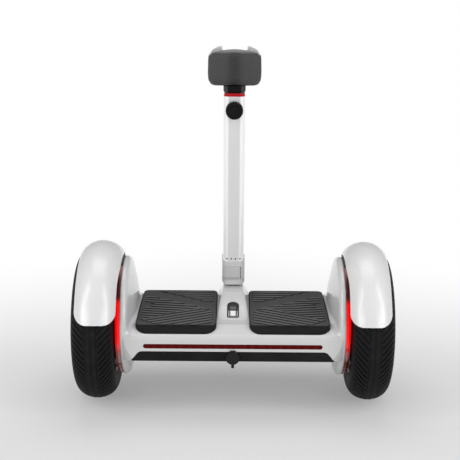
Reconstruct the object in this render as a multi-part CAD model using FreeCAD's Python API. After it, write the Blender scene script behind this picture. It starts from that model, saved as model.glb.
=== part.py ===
import FreeCAD, Part
import math
import os

# Self-balancing two-wheel scooter with a knee bar, all lengths in millimetres and angles in degrees.
# +X is the rider's right, +Y is forwards and +Z is up.
# The origin is on the floor, under the middle of the axle line.

os.makedirs("parts", exist_ok=True)
Vec = FreeCAD.Vector

# Fits and general values
run_gap = 0.05
fit_gap = 0.3
panel_gap = 0.6
over = 5.0

# Wheels
tyre_radius = 133.5
tyre_width = 71.6
tyre_section = 49.5
tyre_wall = 6.5
track = 472.6
tyre_bulge_share = 0.424
shoulder_width_share = 0.70
shoulder_rise_share = 0.716
bead_width_share = 0.78
groove_width = 3.0
groove_depth = 1.6
groove_offset = 11.0

# Rim and hub motor
rim_wall = 10.0
rim_flange = 4.0
rim_flange_width = 3.5
cover_wall = 3.0
cover_dome = 5.0
cover_hub_radius = 26.0
cover_spokes = 5
cover_pocket_depth = 2.2
cover_pocket_shares = (0.42, 0.86)
cover_pocket_angle = 46.0
cover_screws = 6
screw_radius = 1.5
screw_head = 2.6
screw_head_height = 2.0
ledge_depth = 5.8
ledge_width = 4.0
magnet_count = 20
magnet_share = 0.8
magnet_height = 4.5
magnet_length = 30.0
air_gap = 0.8
stator_length = 28.0
stator_teeth = 18
stator_core_radius = 46.0
stem_share = 0.30
tooth_tip_share = 0.42
tooth_tip_height = 4.0
winding_height = 5.5
bearing_radius = 16.0
bearing_width = 9.0
bearing_wall = 5.0
valve_radius = 3.9
valve_length = 13.0
valve_tip_radius = 2.6
valve_tip_length = 3.0
valve_angle = 20.0

# Axle
axle_radius = 8.0
axle_flat = 6.2
axle_inner_x = 150.0
clamp_width = 13.0
clamp_reach = 19.0
clamp_half_height = 12.0
clamp_slot = 2.0

# Deck
deck_depth = 210.0
deck_bottom = 100.0
deck_top = 160.0
shell_wall = 3.5
slope_start = 71.0
lip_height = 148.7
lip_radius = 9.0
slope_radius = 25.0
belly_half = 86.0
belly_radius = 8.0
sill_half = 103.5
sill_height = 104.0
sill_radius = 3.0

# Bell ends
bell_x = 190.5
bell_z = 148.0
bell_radius = 104.0
bell_rim = 10.0
bell_rim_radius = 9.0
bell_edge_radius = 3.0
bell_foot_x = 165.5
bell_foot_radius = 20.0
bell_waist_x = 168.0
bell_waist_radius = 55.0
bell_neck_x = 177.0
bell_neck_radius = 92.0
bell_blend_small = 30.0
bell_blend_large = 200.0
taper_start_x = 150.0
taper_start_radius = 118.0
blend_radius = 13.0

# Lower cover
cover_top = 122.0
cover_half = 171.5
cover_shoulder = 158.0
cover_shoulder_radius = 12.0
cover_foot_rise = 1.0
cover_screw_x = 132.0
cover_screw_y = 62.0

# Side plates and light rings
plate_inset = 4.5
plate_thickness = 4.0
ring_outer = 102.5
ring_width = 7.0
ring_depth = 7.5

# Fenders
fender_radius = 144.5
fender_x = 231.0
fender_bulge_half = 44.0
fender_wall = 3.0
fender_inner_x = 192.6
fender_outer_x = 266.5
fender_angle = 71.0
fender_corner_angle = 59.0
fender_end_radius = 26.0
fender_rib_width = 3.0
fender_rib_depth = 4.0
bracket_thickness = 2.0
bracket_half_angle = 13.0
bracket_root_radius = 78.0
bracket_slot_radius = 3.0

# Foot mats
mat_inner_x = 28.4
mat_outer_front_x = 162.5
mat_outer_rear_x = 165.0
mat_front_y = 80.0
mat_rear_y = -97.0
mat_top = 166.0
mat_bottom = 150.0
mat_corner_small = 9.0
mat_corner_large = 20.0
mat_edge = 2.5
mat_rear_slope = 9.0
mat_rib_pitch = 10.5
mat_rib_width = 5.0
mat_rib_height = 1.6
mat_margin = 7.0
mat_travel = 1.5
mat_post_radius = 5.0
mat_post_drop = 6.0
mat_post_inset = 22.0

# Pattern of the mats, as shares of the mat's width from its inner edge and of its depth from its front
band_upper_shares = ((0.90, 0.0), (0.0, 0.41))
band_lower_shares = ((1.0, 0.15), (0.0, 0.60))
wedge_shares = ((1.0, 0.34), (0.78, 0.44), (1.0, 0.55))
chevron_shares = ((1.0, 0.86), (0.26, 0.53), (0.0, 0.66))
corner_patch_shares = ((1.0, 0.80), (0.70, 1.0), (1.0, 1.0))
rib_slope_front = -2.0
rib_slope_outer = 7.0
rib_slope_inner = -24.0

# Frame, battery and electronics
frame_end_gap = 2.0
frame_half_x = taper_start_x - frame_end_gap
frame_side_gap = 15.0
frame_half_y = deck_depth / 2 - frame_side_gap
frame_wall = 4.0
frame_top = 146.0
frame_slot_width = 14.0
frame_slot_length = 60.0
frame_slot_count = 4
battery_x = 236.0
battery_y = 118.0
battery_height = 27.0
battery_rear_gap = 5.0
battery_centre_y = battery_y / 2 - frame_half_y + frame_wall + battery_rear_gap
battery_edge = 6.0
battery_groove = 2.0
board_x = 86.0
board_y = 34.0
board_centre_x = -78.0
board_front_gap = 10.0
board_centre_y = frame_half_y - frame_wall - board_front_gap - board_y / 2
board_height = 1.6
board_lift = 5.0
capacitor_radius = 5.0
capacitor_height = 20.0
capacitor_count = 4
foot_plate_thickness = 2.5
foot_plate_margin = 6.0
sensor_size = 16.0
sensor_height = 5.0
sensor_bar = 5.0

# Lights and charge socket
lens_half = 151.0
lens_low = 127.5
lens_high = 135.7
lens_depth = 4.0
lens_gap = 0.15
front_lens_half = 62.0
front_lens_low = 124.0
front_lens_high = 138.0
socket_z = 111.4
socket_radius = 9.0
socket_bore = 6.4
socket_rear = 101.0
socket_length = 10.0
socket_bore_depth = 9.0
socket_boss_radius = 10.4
socket_boss_rear = 104.8
socket_boss_front = 91.0
cap_radius = 11.4
cap_thickness = 3.2
cap_plug_radius = 8.3
cap_plug_length = 3.0
cap_tab_width = 5.0
cap_tab_drop = 17.4
cap_tab_thickness = 1.8
cap_hinge_y = 106.0
cap_hinge_z = 123.8
cap_hinge_radius = 1.4
cap_hinge_half = 4.5

# Console between the mats, as stacked outlines: height, rear half width, front half width, rear y, front y
console_sections = (
    (148.0, 28.0, 28.0, -84.0, 98.0),
    (160.0, 26.5, 26.0, -56.0, 97.0),
    (168.0, 25.0, 21.0, -31.0, 95.0),
    (175.0, 23.0, 18.2, -13.0, 92.5),
    (180.4, 20.6, 17.0, 7.5, 91.0),
    (183.4, 18.2, 16.2, 19.0, 90.0),
)
console_corner = 9.0
console_opening_half = 13.4
console_wall = 3.0

# Display window and power button
window_half = 10.4
window_rear_y = -49.0
window_front_y = -8.5
window_corner = 3.0
window_depth = 1.0
window_thickness = 3.0
button_half_x = 5.0
button_rear_y = -43.6
button_front_y = -30.6
button_corner = 2.0
button_proud = 0.5
button_length = 4.0

# Steering pivot in the console
column_y = 70.0
pivot_z = 168.0
pivot_pin_radius = 5.0
pivot_bush_radius = 8.0
pillar_half_x = 13.0
pillar_half_y = 17.4
pillar_round = 9.0
pillar_ear = 5.5
pillar_slot_low = 152.0
pillar_top = 175.0
stem_half_x = 10.0
stem_barrel_radius = 11.5
stem_foot_length = 26.0
stem_foot_radius = 6.0

# Folding hinge block
block_half_x = 20.2
block_half_y = 22.0
block_corner = 8.0
block_low = 187.0
block_split = 196.5
block_split_gap = 0.6
block_high = 232.0
block_taper = 5.0
block_taper_height = 4.5
block_crown_radius = 60.0
block_crown_depth = 2.5
hinge_inset = 8.5
hinge_rise = 10.5
knuckle_radius = 8.5
hinge_pin_radius = 4.0
hinge_pin_inset = 0.6
ear_inner_x = 11.0
ear_base_rear = 7.5
ear_base_front = 5.5
ear_waist_share = 0.94
spot_z = 235.2
spot_radius = 1.5
spot_depth = 7.0
spot_pitch = 7.8
spot_count = 4

# Cam lever on the block
lever_low = 199.8
lever_high = 221.6
lever_thickness = 4.4
lever_pivot_x = 11.0
lever_pin_radius = 1.6
lever_tab_length = 15.0
lever_slot_drop = 1.2
lever_pin_sink = 1.2
recess_depth = 5.2

# Column tube, collar, lock knob and post
tube_half_x = 18.4
tube_half_y = 20.5
tube_corner = 9.5
tube_wall = 2.2
spigot_high = 262.0
tube_low = 223.8
tube_high = 527.5
collar_height = 5.5
collar_inset = 1.0
knob_drop = 22.5
knob_z = tube_high - knob_drop
knob_radius = 15.0
knob_length = 12.0
knob_gap = 2.6
knob_lobes = 18
knob_lobe_radius = 1.2
knob_face_radius = 10.5
knob_face_depth = 1.2
knob_stud_radius = 4.0
knob_boss_radius = 9.0
post_gap = 0.35
post_wall = 1.8
post_low = 330.0

# Head
neck_flare = 1.7
neck_rise = 3.5
head_half_x = 45.5
neck_length = 12.5
head_height = 60.0
head_low = tube_high + collar_height + neck_length
head_high = head_low + head_height
head_rear_y = 40.0
head_front_y = 92.5
head_front_half = 20.0
head_hip_x = 38.8
head_hip_y = 66.5
head_side_y = 58.0
head_corner = 15.0
head_hip_radius = 6.0
head_front_radius = 26.0
head_valley = 3.5
head_valley_half = 12.0
head_plan_y = 70.0
core_half_x = 28.0
core_half_y = 14.0
core_corner = 5.0
core_height = 44.5
core_high = head_low + core_height
arm_radius = 5.0
arm_x = 16.0
arm_rise = 24.5
arm_z = head_low + arm_rise
crown_thickness = 5.0
crown_lift = 8.5
crown_height = 53.4
crown_low = head_low + crown_lift
crown_high = crown_low + crown_height
crown_notch_half = 22.0
crown_notch_depth = 7.4
crown_notch_low = crown_high - crown_notch_depth
crown_shoulder_x = 38.0
crown_shoulder_drop = 3.9
crown_shoulder_z = crown_high - crown_shoulder_drop
crown_side_drop = 11.4
crown_side_z = crown_high - crown_side_drop
crown_side_y = 66.0
crown_side_x = 45.0
crown_front_y = 104.0
crown_corner = 3.0

# Worked out from the sizes above
axle_z = tyre_radius
wheel_x = track / 2
tyre_half = tyre_width / 2
rim_radius = tyre_radius - tyre_section
bulge_radius = rim_radius + tyre_bulge_share * tyre_section
rim_half = bead_width_share * tyre_half
drum_radius = rim_radius - rim_wall
deck_half_y = deck_depth / 2
ring_face_x = bell_x + ring_depth
bracket_x = bell_x
plate_radius = bell_radius - plate_inset
console_top = console_sections[-1][0]
hinge_y = column_y + block_half_y - hinge_inset
hinge_z = block_split + hinge_rise


def in_plane(plane, a, b, level):
    if plane == "xy":
        return Vec(a, b, level)
    if plane == "xz":
        return Vec(a, level, b)
    return Vec(level, a, b)


# A closed outline whose corners are (a, b, radius), with an arc at each corner that has a radius
def outline(corners, plane, level=0):
    count = len(corners)
    spans = []
    for i in range(count):
        a, b, radius = corners[i]
        pa, pb, _ = corners[i - 1]
        na, nb, _ = corners[(i + 1) % count]
        back = math.hypot(pa - a, pb - b)
        ahead = math.hypot(na - a, nb - b)
        ua, ub = (pa - a) / back, (pb - b) / back
        va, vb = (na - a) / ahead, (nb - b) / ahead
        half = math.acos(max(-1, min(1, ua * va + ub * vb))) / 2
        if radius <= 0 or abs(math.cos(half)) < 1e-9:
            spans.append(((a, b), None, (a, b)))
            continue
        run = radius / math.tan(half)
        reach = radius / math.sin(half) - radius
        ma, mb = ua + va, ub + vb
        size = math.hypot(ma, mb)
        first = (a + ua * run, b + ub * run)
        middle = (a + ma / size * reach, b + mb / size * reach)
        last = (a + va * run, b + vb * run)
        spans.append((first, middle, last))
    edges = []
    for i in range(count):
        first, middle, last = spans[i]
        following = spans[(i + 1) % count][0]
        start = in_plane(plane, first[0], first[1], level)
        end = in_plane(plane, last[0], last[1], level)
        if middle is not None:
            arc = Part.Arc(start, in_plane(plane, middle[0], middle[1], level), end)
            edges.append(arc.toShape())
        corner = in_plane(plane, following[0], following[1], level)
        if end.distanceToPoint(corner) > 1e-6:
            edges.append(Part.makeLine(end, corner))
    return Part.Wire(edges)


def direction(plane, amount):
    if plane == "xy":
        return Vec(0, 0, amount)
    if plane == "xz":
        return Vec(0, amount, 0)
    return Vec(amount, 0, 0)


# A flat-sided solid of one outline, between two levels along the plane's normal
def slab(corners, plane, low, high):
    face = Part.Face(outline(corners, plane, low))
    return face.extrude(direction(plane, high - low))


# A solid turned about a line along X, its corners as (x, radius from the line, corner radius)
def turned(corners, centre_z, angle=360):
    wire = outline([(x, centre_z + r, c) for x, r, c in corners], "xz")
    return Part.Face(wire).revolve(Vec(0, 0, centre_z), Vec(1, 0, 0), angle)


# A solid turned about a line along Y, its corners as (y, radius from the line, corner radius)
def turned_y(corners, centre_x, centre_z):
    wire = outline([(y, centre_z + r, c) for y, r, c in corners], "yz", centre_x)
    return Part.Face(wire).revolve(Vec(centre_x, 0, centre_z), Vec(0, 1, 0), 360)


# Edges from a start point through (via, end) arcs and (end,) lines, closed by a line, turned about X
def turned_arcs(start, steps, centre_z):
    edges = []
    here = in_plane("xz", start[0], centre_z + start[1], 0)
    first = here
    for step in steps:
        end = in_plane("xz", step[-1][0], centre_z + step[-1][1], 0)
        if len(step) == 2:
            via = in_plane("xz", step[0][0], centre_z + step[0][1], 0)
            edges.append(Part.Arc(here, via, end).toShape())
        else:
            edges.append(Part.makeLine(here, end))
        here = end
    edges.append(Part.makeLine(here, first))
    face = Part.Face(Part.Wire(edges))
    return face.revolve(Vec(0, 0, centre_z), Vec(1, 0, 0), 360)


def rod_x(radius, low, high, y, z):
    return Part.makeCylinder(radius, high - low, Vec(low, y, z), Vec(1, 0, 0))


def rod_y(radius, low, high, x, z):
    return Part.makeCylinder(radius, high - low, Vec(x, low, z), Vec(0, 1, 0))


def rod_z(radius, low, high, x, y):
    return Part.makeCylinder(radius, high - low, Vec(x, y, low), Vec(0, 0, 1))


def box(x_low, x_high, y_low, y_high, z_low, z_high):
    size = (x_high - x_low, y_high - y_low, z_high - z_low)
    return Part.makeBox(size[0], size[1], size[2], Vec(x_low, y_low, z_low))


# A rectangle's four corners about a centre, with one corner radius
def rounded_box(centre_a, centre_b, half_a, half_b, radius):
    signs = ((-1, -1), (1, -1), (1, 1), (-1, 1))
    return [(centre_a + i * half_a, centre_b + j * half_b, radius) for i, j in signs]


def mirrored(shape):
    return shape.mirror(Vec(0, 0, 0), Vec(1, 0, 0))


def both_sides(shape):
    return [shape, mirrored(shape)]


def turned_about_wheel(shape, angle):
    copy = shape.copy()
    copy.rotate(Vec(0, 0, axle_z), Vec(1, 0, 0), angle)
    return copy


def fused(shapes):
    whole = shapes[0]
    if len(shapes) > 1:
        whole = whole.fuse(shapes[1:])
    return whole.removeSplitter()


# Deck, bells and console

def deck_corners():
    rear = [
        (-belly_half, deck_bottom, belly_radius),
        (-sill_half, sill_height, sill_radius),
        (-deck_half_y, lip_height, lip_radius),
        (-slope_start, deck_top, slope_radius),
    ]
    front = [(-y, z, c) for y, z, c in reversed(rear)]
    return rear + front


# Turned limit that draws the ends of the deck in until they run into the bells' rims
def deck_taper(inset=0):
    end = bell_radius - shell_wall / 2 - inset
    start = taper_start_radius - inset
    corners = [
        (-bell_x, 0, 0), (-bell_x, end, 0), (-taper_start_x, start, 0),
        (taper_start_x, start, 0), (bell_x, end, 0), (bell_x, 0, 0),
    ]
    return turned(corners, bell_z)


def deck_solid():
    half = bell_x - shell_wall
    return slab(deck_corners(), "yz", -half, half).common(deck_taper())


def deck_cavity():
    face = Part.Face(outline(deck_corners(), "yz", -cover_half))
    inner = face.makeOffset2D(-shell_wall)
    return inner.extrude(Vec(2 * cover_half, 0, 0)).common(deck_taper(shell_wall))


def bell_corners(inset):
    return [
        (bell_x, 0, 0),
        (bell_x, bell_radius - inset, 0 if inset else bell_edge_radius),
        (bell_x - bell_rim + inset / 2, bell_radius - inset, bell_rim_radius - inset),
        (bell_neck_x + inset, bell_neck_radius, bell_blend_small),
        (bell_waist_x + inset, bell_waist_radius, bell_blend_large),
        (bell_foot_x + inset, bell_foot_radius, bell_blend_large),
        (bell_foot_x + inset, 0, 0),
    ]


def bell_solid():
    return turned(bell_corners(0), bell_z)


def bell_cavity():
    return turned(bell_corners(shell_wall), bell_z)


# Room that the lower cover leaves round the bells' outer skin
def bell_clearance():
    return turned(bell_corners(-fit_gap), bell_z)


def console_corners(section, inset):
    _, rear_half, front_half, rear_y, front_y = section
    radius = console_corner - inset
    return [
        (-rear_half + inset, rear_y + inset, radius), (rear_half - inset, rear_y + inset, radius),
        (front_half - inset, front_y - inset, radius), (-front_half + inset, front_y - inset, radius),
    ]


def console_solid(inset=0, drop=0):
    wires = []
    for section in console_sections:
        wires.append(outline(console_corners(section, inset), "xy", section[0] - drop))
    return Part.makeLoft(wires, True, False)


def cover_corners(inset):
    low = deck_bottom - over
    slant = cover_half - inset
    return [
        (-slant, low, 0), (slant, low, 0), (slant, sill_height + cover_foot_rise, 0),
        (cover_shoulder - inset, cover_top - inset, cover_shoulder_radius),
        (-cover_shoulder + inset, cover_top - inset, cover_shoulder_radius),
        (-slant, sill_height + cover_foot_rise, 0),
    ]


def mat_corners(inset, rear_y=mat_rear_y):
    inner = mat_inner_x + inset
    front = mat_front_y - inset
    return [
        (inner, rear_y + inset, mat_corner_large - inset),
        (mat_outer_rear_x - inset, rear_y + inset, mat_corner_large - inset),
        (mat_outer_front_x - inset, front, mat_corner_small - inset),
        (inner, front, mat_corner_small - inset),
    ]


def mat_pocket():
    return slab(mat_corners(-panel_gap), "xy", mat_bottom - shell_wall, deck_top + 2 * blend_radius)


def lens_corners(half, low, high, inset):
    centre = (low + high) / 2
    half_height = (high - low) / 2 - inset
    radius = half_height - run_gap
    return rounded_box(0, centre, half - inset, half_height, radius)


def window_corners(inset):
    half = window_half - inset
    return [
        (-half, window_rear_y + inset, window_corner), (half, window_rear_y + inset, window_corner),
        (half, window_front_y - inset, half - run_gap), (-half, window_front_y - inset, half - run_gap),
    ]


def button_corners(inset):
    centre_y = (button_rear_y + button_front_y) / 2
    half_y = (button_front_y - button_rear_y) / 2 + inset
    return rounded_box(0, centre_y, button_half_x + inset, half_y, button_corner)


def socket_hole(radius, rear, front):
    return rod_y(radius, rear, front, 0, socket_z)


# Deck and bells as one form, with a fillet where the deck's top runs into each bell
def blended_outer():
    outer = deck_solid().fuse(both_sides(bell_solid()))
    seams = []
    for edge in outer.Edges:
        bound = edge.BoundBox
        level = bound.ZMin > deck_top - run_gap and bound.ZMax < deck_top + run_gap
        outside = min(abs(bound.XMin), abs(bound.XMax)) > bell_foot_x - run_gap
        if level and outside and bound.YMin < 0 < bound.YMax:
            seams.append(edge)
    outer = outer.makeFillet(blend_radius, seams)
    slot = slab(cover_corners(-fit_gap), "xz", -deck_half_y - over, deck_half_y + over)
    return outer.cut(slot.cut(both_sides(bell_solid())))


def upper_shell():
    outer = blended_outer().fuse(console_solid())
    hollow = [deck_cavity(), console_solid(console_wall, console_wall)]
    hollow += both_sides(bell_cavity())
    hollow += both_sides(mat_pocket())
    neck = rounded_box(0, column_y, console_opening_half, pillar_half_y - console_wall, console_wall)
    hollow.append(slab(neck, "xy", console_top - over, console_top + over))
    hollow.append(slab(window_corners(0), "xy", deck_top - over, console_top + over))
    rear = lens_corners(lens_half, lens_low, lens_high, 0)
    hollow.append(slab(rear, "xz", -deck_half_y - over, -deck_half_y + lens_depth + over))
    front = lens_corners(front_lens_half, front_lens_low, front_lens_high, 0)
    hollow.append(slab(front, "xz", deck_half_y - lens_depth - over, deck_half_y + over))
    return outer.cut(hollow)


def cover_screw_places():
    return [(x, y) for x in (-cover_screw_x, cover_screw_x) for y in (-cover_screw_y, cover_screw_y)]


def lower_cover():
    prism = slab(cover_corners(0), "xz", -deck_half_y - over, deck_half_y + over)
    tray = deck_solid().common(prism)
    tray = tray.cut(both_sides(bell_clearance()) + [deck_cavity()])
    tray = tray.fuse(socket_hole(socket_boss_radius, -socket_boss_rear, -socket_boss_front))
    holes = [socket_hole(socket_radius + run_gap, -deck_half_y - over, -belly_half + over)]
    for x, y in cover_screw_places():
        holes.append(rod_z(screw_radius, deck_bottom - over, deck_bottom + over + shell_wall, x, y))
        holes.append(rod_z(screw_head, deck_bottom - over, deck_bottom + screw_head_height, x, y))
    return tray.cut(holes)


def cover_screw_set():
    screws = []
    for x, y in cover_screw_places():
        head = rod_z(screw_head - fit_gap, deck_bottom + run_gap, deck_bottom + screw_head_height, x, y)
        shank = rod_z(screw_radius - run_gap, deck_bottom + screw_head_height, frame_floor(), x, y)
        screws.append(fused([head, shank]))
    return screws


def side_plate():
    face = bell_x
    plate = turned([
        (face - plate_thickness, 0, 0), (face, 0, 0),
        (face, plate_radius, 0), (face - plate_thickness, plate_radius, 0),
    ], bell_z)
    return plate.cut(rod_x(axle_radius + run_gap, face - over * 2, face + over, 0, axle_z))


def light_ring():
    inner = ring_outer - ring_width
    ring = turned([
        (bell_x, inner, 0), (ring_face_x, inner, 0),
        (ring_face_x, ring_outer - ring_width / 3, 0), (bell_x + ring_depth / 2, ring_outer, 0),
        (bell_x, ring_outer, 0),
    ], bell_z)
    return ring.cut(bracket_plate(fit_gap, fit_gap))


# Fenders

def bracket_plate(grow, deepen):
    angle = 2 * bracket_half_angle
    low = bracket_x
    high = bracket_x + bracket_thickness + deepen
    reach = fender_lining_radius() + grow
    sector = turned([(low, 0, 0), (high, 0, 0), (high, reach, 0), (low, reach, 0)], axle_z, angle + 2 * grow)
    sector.rotate(Vec(0, 0, axle_z), Vec(1, 0, 0), -bracket_half_angle - grow)
    root = rod_x(bracket_root_radius, low - over, high + over, 0, bell_z)
    return sector.cut(root)


def fender_bracket():
    plate = bracket_plate(0, 0)
    slots = []
    for angle in (-bracket_half_angle / 2, 0, bracket_half_angle / 2):
        middle = (bracket_root_radius + plate_radius) / 2
        hole = rod_x(bracket_slot_radius, bracket_x - over, bracket_x + over, 0, bell_z + middle)
        hole.rotate(Vec(0, 0, bell_z), Vec(1, 0, 0), angle)
        slots.append(hole)
    return plate.cut(slots)


# Radius from the axle of the fender's outer skin at a place across its width
def fender_section_radius(x):
    share = (x - fender_x) / fender_bulge_half
    return bulge_radius + (fender_radius - bulge_radius) * math.sqrt(1 - share * share)


def fender_lining_radius():
    return fender_section_radius(fender_inner_x) - fender_wall


def fender_arc(inset):
    points = []
    inner_x = (fender_inner_x + fender_x) / 2
    outer_x = (fender_outer_x + fender_x) / 2
    for x in (fender_inner_x, inner_x, fender_x, outer_x, fender_outer_x):
        points.append(Vec(x, 0, axle_z + fender_section_radius(x) - inset))
    curve = Part.BSplineCurve()
    curve.interpolate(points)
    return curve.toShape(), points[0], points[-1]


def fender():
    skin, skin_low, skin_high = fender_arc(0)
    lining, lining_low, lining_high = fender_arc(fender_wall)
    ends = [Part.makeLine(skin_high, lining_high), Part.makeLine(lining_low, skin_low)]
    arch = Part.Face(Part.Wire([skin, ends[0], lining, ends[1]]))
    arch = arch.revolve(Vec(0, 0, axle_z), Vec(1, 0, 0), 2 * fender_angle)
    arch.rotate(Vec(0, 0, axle_z), Vec(1, 0, 0), -fender_angle)
    rib_x = bracket_x + bracket_thickness
    root = fender_lining_radius()
    rib = turned([
        (rib_x, root - fender_rib_depth, 0), (rib_x + fender_rib_width, root - fender_rib_depth, 0),
        (rib_x + fender_rib_width, root + fender_wall, 0), (rib_x, root, 0),
    ], axle_z, 2 * bracket_half_angle)
    rib.rotate(Vec(0, 0, axle_z), Vec(1, 0, 0), -bracket_half_angle)
    rear = fender_end_waste()
    front = rear.mirror(Vec(0, 0, 0), Vec(0, 1, 0))
    return arch.fuse(rib).cut([rear, front])


# Everything beyond the rounded end of the fender, shaped in its tangent plane and swung to the rear
def fender_end_waste():
    low, high = fender_inner_x, fender_outer_x
    turn = fender_angle - fender_corner_angle
    end = -fender_radius * math.sin(math.radians(turn))
    keep = slab([
        (low - over, fender_radius, 0), (low, fender_radius, 0), (low, end, fender_end_radius),
        (high, end, fender_end_radius), (high, fender_radius, 0), (high + over, fender_radius, 0),
        (high + over, 2 * fender_radius, 0), (low - over, 2 * fender_radius, 0),
    ], "xy", 0, fender_radius + over)
    waste = box(low - over, high + over, end - over, 0, 0, fender_radius + over).cut(keep)
    waste.translate(Vec(0, 0, axle_z))
    waste.rotate(Vec(0, 0, axle_z), Vec(1, 0, 0), fender_corner_angle)
    return waste


# Wheels

def tyre():
    half = tyre_half
    inner = half - tyre_wall
    rise = tyre_radius - bulge_radius
    shoulder = (half * shoulder_width_share, bulge_radius + rise * shoulder_rise_share)
    lining = (inner * shoulder_width_share, bulge_radius + (rise - tyre_wall) * shoulder_rise_share)
    x = wheel_x
    lip = rim_radius + rim_flange + run_gap
    ledge = rim_half + rim_flange_width
    steps = [
        ((x + rim_half, lip),),
        ((x + ledge, lip),),
        ((x + half, bulge_radius), (x + shoulder[0], shoulder[1])),
        ((x, tyre_radius), (x - shoulder[0], shoulder[1])),
        ((x - half, bulge_radius), (x - ledge, lip)),
        ((x - rim_half, lip),),
        ((x - rim_half, rim_radius),),
        ((x - rim_half + tyre_wall, rim_radius),),
        ((x - inner, bulge_radius), (x - lining[0], lining[1])),
        ((x, tyre_radius - tyre_wall), (x + lining[0], lining[1])),
        ((x + inner, bulge_radius), (x + rim_half - tyre_wall, rim_radius)),
    ]
    body = turned_arcs((x + rim_half, rim_radius), steps, axle_z)
    grooves = []
    for offset in (-groove_offset, 0, groove_offset):
        low = x + offset - groove_width / 2
        floor = tyre_radius - groove_depth - abs(offset) * groove_width / tyre_half
        grooves.append(turned([
            (low, floor, 0), (low + groove_width, floor, 0),
            (low + groove_width, tyre_radius + over, 0), (low, tyre_radius + over, 0),
        ], axle_z))
    return body.cut(grooves)


def rim():
    x = wheel_x
    flange = rim_half + rim_flange_width - run_gap
    seat = rim_radius - run_gap
    skirt = seat - rim_wall / 2
    top = rim_radius + rim_flange
    side = []
    for sign in (1, -1):
        ledge = rim_half - cover_wall - run_gap
        half = [
            (x - sign * (ledge - ledge_width), drum_radius, 0),
            (x - sign * (ledge - ledge_width), drum_radius - ledge_depth, 0),
            (x - sign * ledge, drum_radius - ledge_depth, 0), (x - sign * ledge, drum_radius, 0),
            (x - sign * rim_half, drum_radius, 0), (x - sign * flange, skirt, 0),
            (x - sign * flange, top, rim_flange_width / 3),
            (x - sign * (rim_half + run_gap), top, 0), (x - sign * (rim_half + run_gap), seat, 0),
        ]
        side += half if sign > 0 else half[::-1]
    ring = turned(side, axle_z)
    holes = [valve_hole()]
    for sign in (-1, 1):
        low, high = span(wheel_x + sign * drum_ledge_low(), sign * ledge_run())
        for y, z in hub_screw_places():
            holes.append(rod_x(screw_radius + run_gap, low, high, y, z))
    return ring.cut(holes)


# A low and a high end from one end and a signed length
def span(start, length):
    return min(start, start + length), max(start, start + length)


def drum_ledge_low():
    return rim_half - cover_wall - ledge_width - over


def ledge_run():
    return ledge_width + 2 * over


# The valve stands on the wheel's inner side, a little to the rear of its lowest place
def valve_place():
    reach = rim_radius - rim_wall / 2
    angle = math.radians(valve_angle)
    return -reach * math.sin(angle), axle_z - reach * math.cos(angle)


def valve_hole():
    low, high = wheel_x - tyre_half - over, wheel_x - rim_half / 2
    return rod_x(valve_radius + run_gap, low, high, *valve_place())


def valve():
    tip = wheel_x - tyre_half + over / 5
    start = tip + valve_length
    base = start + rim_flange
    body = rod_x(valve_radius, tip + valve_tip_length, base, *valve_place())
    end = rod_x(valve_tip_radius, tip, tip + valve_tip_length, *valve_place())
    return fused([body, end])


def magnets():
    blocks = []
    half_width = magnet_half_width()
    top = magnet_face() + magnet_height
    low_x = wheel_x - magnet_length / 2
    high_z = axle_z + top
    block = box(low_x, low_x + magnet_length, -half_width, half_width, high_z - magnet_height, high_z)
    for i in range(magnet_count):
        blocks.append(turned_about_wheel(block, 360 / magnet_count * i))
    return blocks


def magnet_half_width():
    return math.pi * drum_radius / magnet_count * magnet_share


# Distance from the axle line to the flat inner faces of the magnets
def magnet_face():
    return math.sqrt((drum_radius - fit_gap) ** 2 - magnet_half_width() ** 2) - magnet_height


# Stack of toothed steel sheets, each tooth a narrow stem with a wide tip
def stator():
    outer = magnet_face() - air_gap
    pitch = 2 * math.pi / stator_teeth
    tip_low = outer - tooth_tip_height
    points = []
    for i in range(stator_teeth):
        middle = i * pitch
        for radius, share in (
            (stator_core_radius, -stem_share), (tip_low, -stem_share), (tip_low, -tooth_tip_share),
            (outer, -tooth_tip_share), (outer, tooth_tip_share), (tip_low, tooth_tip_share),
            (tip_low, stem_share), (stator_core_radius, stem_share),
        ):
            width = share if radius > tip_low - over / 2 else share * tip_low / radius
            angle = middle + width * pitch
            points.append((radius * math.sin(angle), axle_z + radius * math.cos(angle), 0))
    low = wheel_x - stator_length / 2
    stack = slab(points, "yz", low, low + stator_length)
    return stack.cut(rod_x(axle_radius + run_gap, low - over, low + stator_length + over, 0, axle_z))


def windings():
    outer = magnet_face() - air_gap - tooth_tip_height - run_gap
    rings = []
    for sign in (-1, 1):
        start = wheel_x + sign * stator_length / 2
        end = start + sign * winding_height
        ring = turned([
            (start, stator_core_radius, 0), (start, outer, 0),
            (end, outer - winding_height / 2, 0), (end, stator_core_radius, 0),
        ], axle_z)
        rings.append(ring)
    return rings + [mirrored(ring) for ring in rings]


def bearings():
    seats = []
    for sign in (-1, 1):
        centre = wheel_x + sign * (rim_half - bearing_width / 2)
        low = centre - bearing_width / 2
        ring = rod_x(bearing_radius, low, low + bearing_width, 0, axle_z)
        bore = rod_x(axle_radius + run_gap, low - over, low + bearing_width + over, 0, axle_z)
        seats.append(ring.cut(bore))
    return seats


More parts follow.
